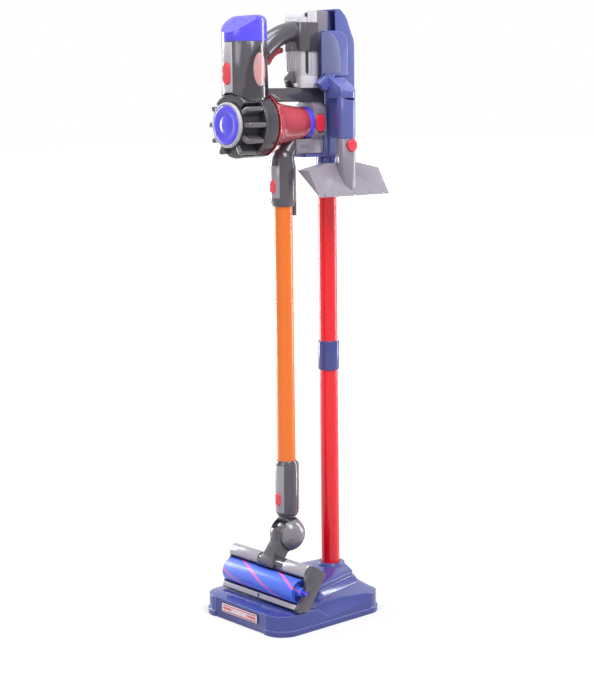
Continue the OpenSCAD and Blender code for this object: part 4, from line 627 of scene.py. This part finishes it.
labelPlate = plate("label_plate", (0, label["face"], label["middle"]), (label["wide"], label["thick"], label["high"]),
                   label["corner"])
keep(labelPlate, "stand", finishes["white"])
for number, (x, z, long, high) in enumerate(label["bars"], 1):
    bar = plate("label_bar_%d" % number, (x, label["face"] - label["barProud"], z), (long, label["thick"], high),
                high * label["barRound"])
    keep(bar, "stand", finishes["button_red"])
print("label plate")


# camera, floor and light

cameraPlace = {"azimuth": 49.0, "elevation": 8.64, "roll": -0.71, "distance": 2.12933, "aside": 0.00995,
               "height": 0.36986, "lens": 84.2}  # degrees, metres and a lens in mm on a 36 mm sensor


def towards(turn, rise):
    # a direction out from the object, turned from the front towards its right side and raised, in degrees
    turn, rise = math.radians(turn), math.radians(rise)
    return Vector((math.sin(turn) * math.cos(rise), -math.cos(turn) * math.cos(rise), math.sin(rise)))


def addCamera(spot):
    roll = math.radians(spot["roll"])
    back = towards(spot["azimuth"], spot["elevation"])
    right = towards(spot["azimuth"] + 90, 0)
    up = back.cross(right)
    across = right * math.cos(roll) + up * math.sin(roll)
    along = up * math.cos(roll) - right * math.sin(roll)
    place = right * spot["aside"] + Vector((0, 0, spot["height"])) + back * spot["distance"]
    camera = bpy.data.objects.new("camera", bpy.data.cameras.new("camera"))
    bpy.context.scene.collection.objects.link(camera)
    camera.matrix_world = Matrix.Translation(place) @ Matrix((across, along, back)).transposed().to_4x4()
    camera.data.lens = spot["lens"]
    camera.data.sensor_width = 36
    camera.data.clip_end = 50
    bpy.context.scene.camera = camera


addCamera(cameraPlace)

floorLook = {"size": 40, "drop": 0.0002, "shade": 0.55, "rough": 0.9, "specular": 0.1, "near": 0.25, "far": 2.5,
             "glowNear": 0.35, "glowFar": 1}  # metres; the glow grows from near to far round the object
bpy.ops.object.select_all(action="DESELECT")
bpy.ops.mesh.primitive_plane_add(size=floorLook["size"])
floor = bpy.context.object
floor.name = "floor"
floor.location.z = -floorLook["drop"]


def watched(tree):
    # 1 for what the camera sees, also in reflections and through clear plastic
    ray = tree.nodes.new("ShaderNodeLightPath")
    total = ray.outputs["Is Camera Ray"]
    for other in ("Is Glossy Ray", "Is Transmission Ray"):
        more = tree.nodes.new("ShaderNodeMath")
        more.operation = "MAXIMUM"
        tree.links.new(total, more.inputs[0])
        tree.links.new(ray.outputs[other], more.inputs[1])
        total = more.outputs[0]
    return total


def paperWhite(name, look):
    # a pale floor that shows plain white to the camera and in reflections, but keeps the object's shadow
    mat = bpy.data.materials.new(name)
    mat.use_nodes = True
    tree = mat.node_tree
    links = tree.links
    shader = tree.nodes["Principled BSDF"]
    shader.inputs["Base Color"].default_value = (look["shade"],) * 3 + (1,)
    shader.inputs["Roughness"].default_value = look["rough"]
    shader.inputs["Specular IOR Level"].default_value = look["specular"]
    place = tree.nodes.new("ShaderNodeTexCoord")
    far = tree.nodes.new("ShaderNodeVectorMath")
    far.operation = "LENGTH"
    links.new(place.outputs["Object"], far.inputs[0])
    lift = tree.nodes.new("ShaderNodeMapRange")
    lift.inputs["From Min"].default_value = look["near"]
    lift.inputs["From Max"].default_value = look["far"]
    lift.inputs["To Min"].default_value = look["glowNear"]
    lift.inputs["To Max"].default_value = look["glowFar"]
    links.new(far.outputs["Value"], lift.inputs["Value"])
    shine = tree.nodes.new("ShaderNodeEmission")
    links.new(lift.outputs["Result"], shine.inputs["Strength"])
    both = tree.nodes.new("ShaderNodeAddShader")
    links.new(shader.outputs[0], both.inputs[0])
    links.new(shine.outputs[0], both.inputs[1])
    pick = tree.nodes.new("ShaderNodeMixShader")
    links.new(watched(tree), pick.inputs["Fac"])
    links.new(shader.outputs[0], pick.inputs[1])
    links.new(both.outputs[0], pick.inputs[2])
    links.new(pick.outputs[0], tree.nodes["Material Output"].inputs["Surface"])
    return mat


floor.data.materials.append(paperWhite("floorPaper", floorLook))

skyGlow = {"onObject": 0.28, "seen": 1}
world = bpy.data.worlds.new("studio")
bpy.context.scene.world = world
world.use_nodes = True
sky = world.node_tree
glow = sky.nodes["Background"]
glow.inputs["Color"].default_value = (1, 1, 1, 1)
glow.inputs["Strength"].default_value = skyGlow["onObject"]
backdrop = sky.nodes.new("ShaderNodeBackground")
backdrop.inputs["Color"].default_value = (1, 1, 1, 1)
backdrop.inputs["Strength"].default_value = skyGlow["seen"]
blend = sky.nodes.new("ShaderNodeMixShader")
sky.links.new(watched(sky), blend.inputs["Fac"])
sky.links.new(glow.outputs[0], blend.inputs[1])
sky.links.new(backdrop.outputs[0], blend.inputs[2])
sky.links.new(blend.outputs[0], sky.nodes["World Output"].inputs["Surface"])

lamps = {  # turn is from the front towards the object's right, in degrees; the camera stands at 49
    "key": {"turn": 84, "rise": 50, "far": 1.9, "size": (0.8, 1.0), "power": 22},
    "streakRight": {"turn": 160, "rise": 10, "far": 1.9, "size": (0.24, 1.9), "power": 22},
    "streakLeft": {"turn": -80, "rise": 8, "far": 1.9, "size": (0.5, 1.9), "power": 34},
    "fill": {"turn": 8, "rise": 24, "far": 2.4, "size": (1.0, 1.0), "power": 13},
    "top": {"turn": 20, "rise": 84, "far": 2.0, "size": (1.0, 1.0), "power": 20},
}
lampsAim = (0, 0, 0.4)  # metres, the object's middle
for name, lamp in lamps.items():
    light = bpy.data.lights.new(name, "AREA")
    light.shape = "RECTANGLE"
    light.size, light.size_y = lamp["size"]
    light.energy = lamp["power"]
    away = towards(lamp["turn"], lamp["rise"])
    holder = bpy.data.objects.new(name, light)
    bpy.context.scene.collection.objects.link(holder)
    holder.location = Vector(lampsAim) + away * lamp["far"]
    holder.rotation_euler = away.to_track_quat("Z", "Y").to_euler()
bpy.context.scene.view_settings.view_transform = "Standard"
print("camera, floor and lights")
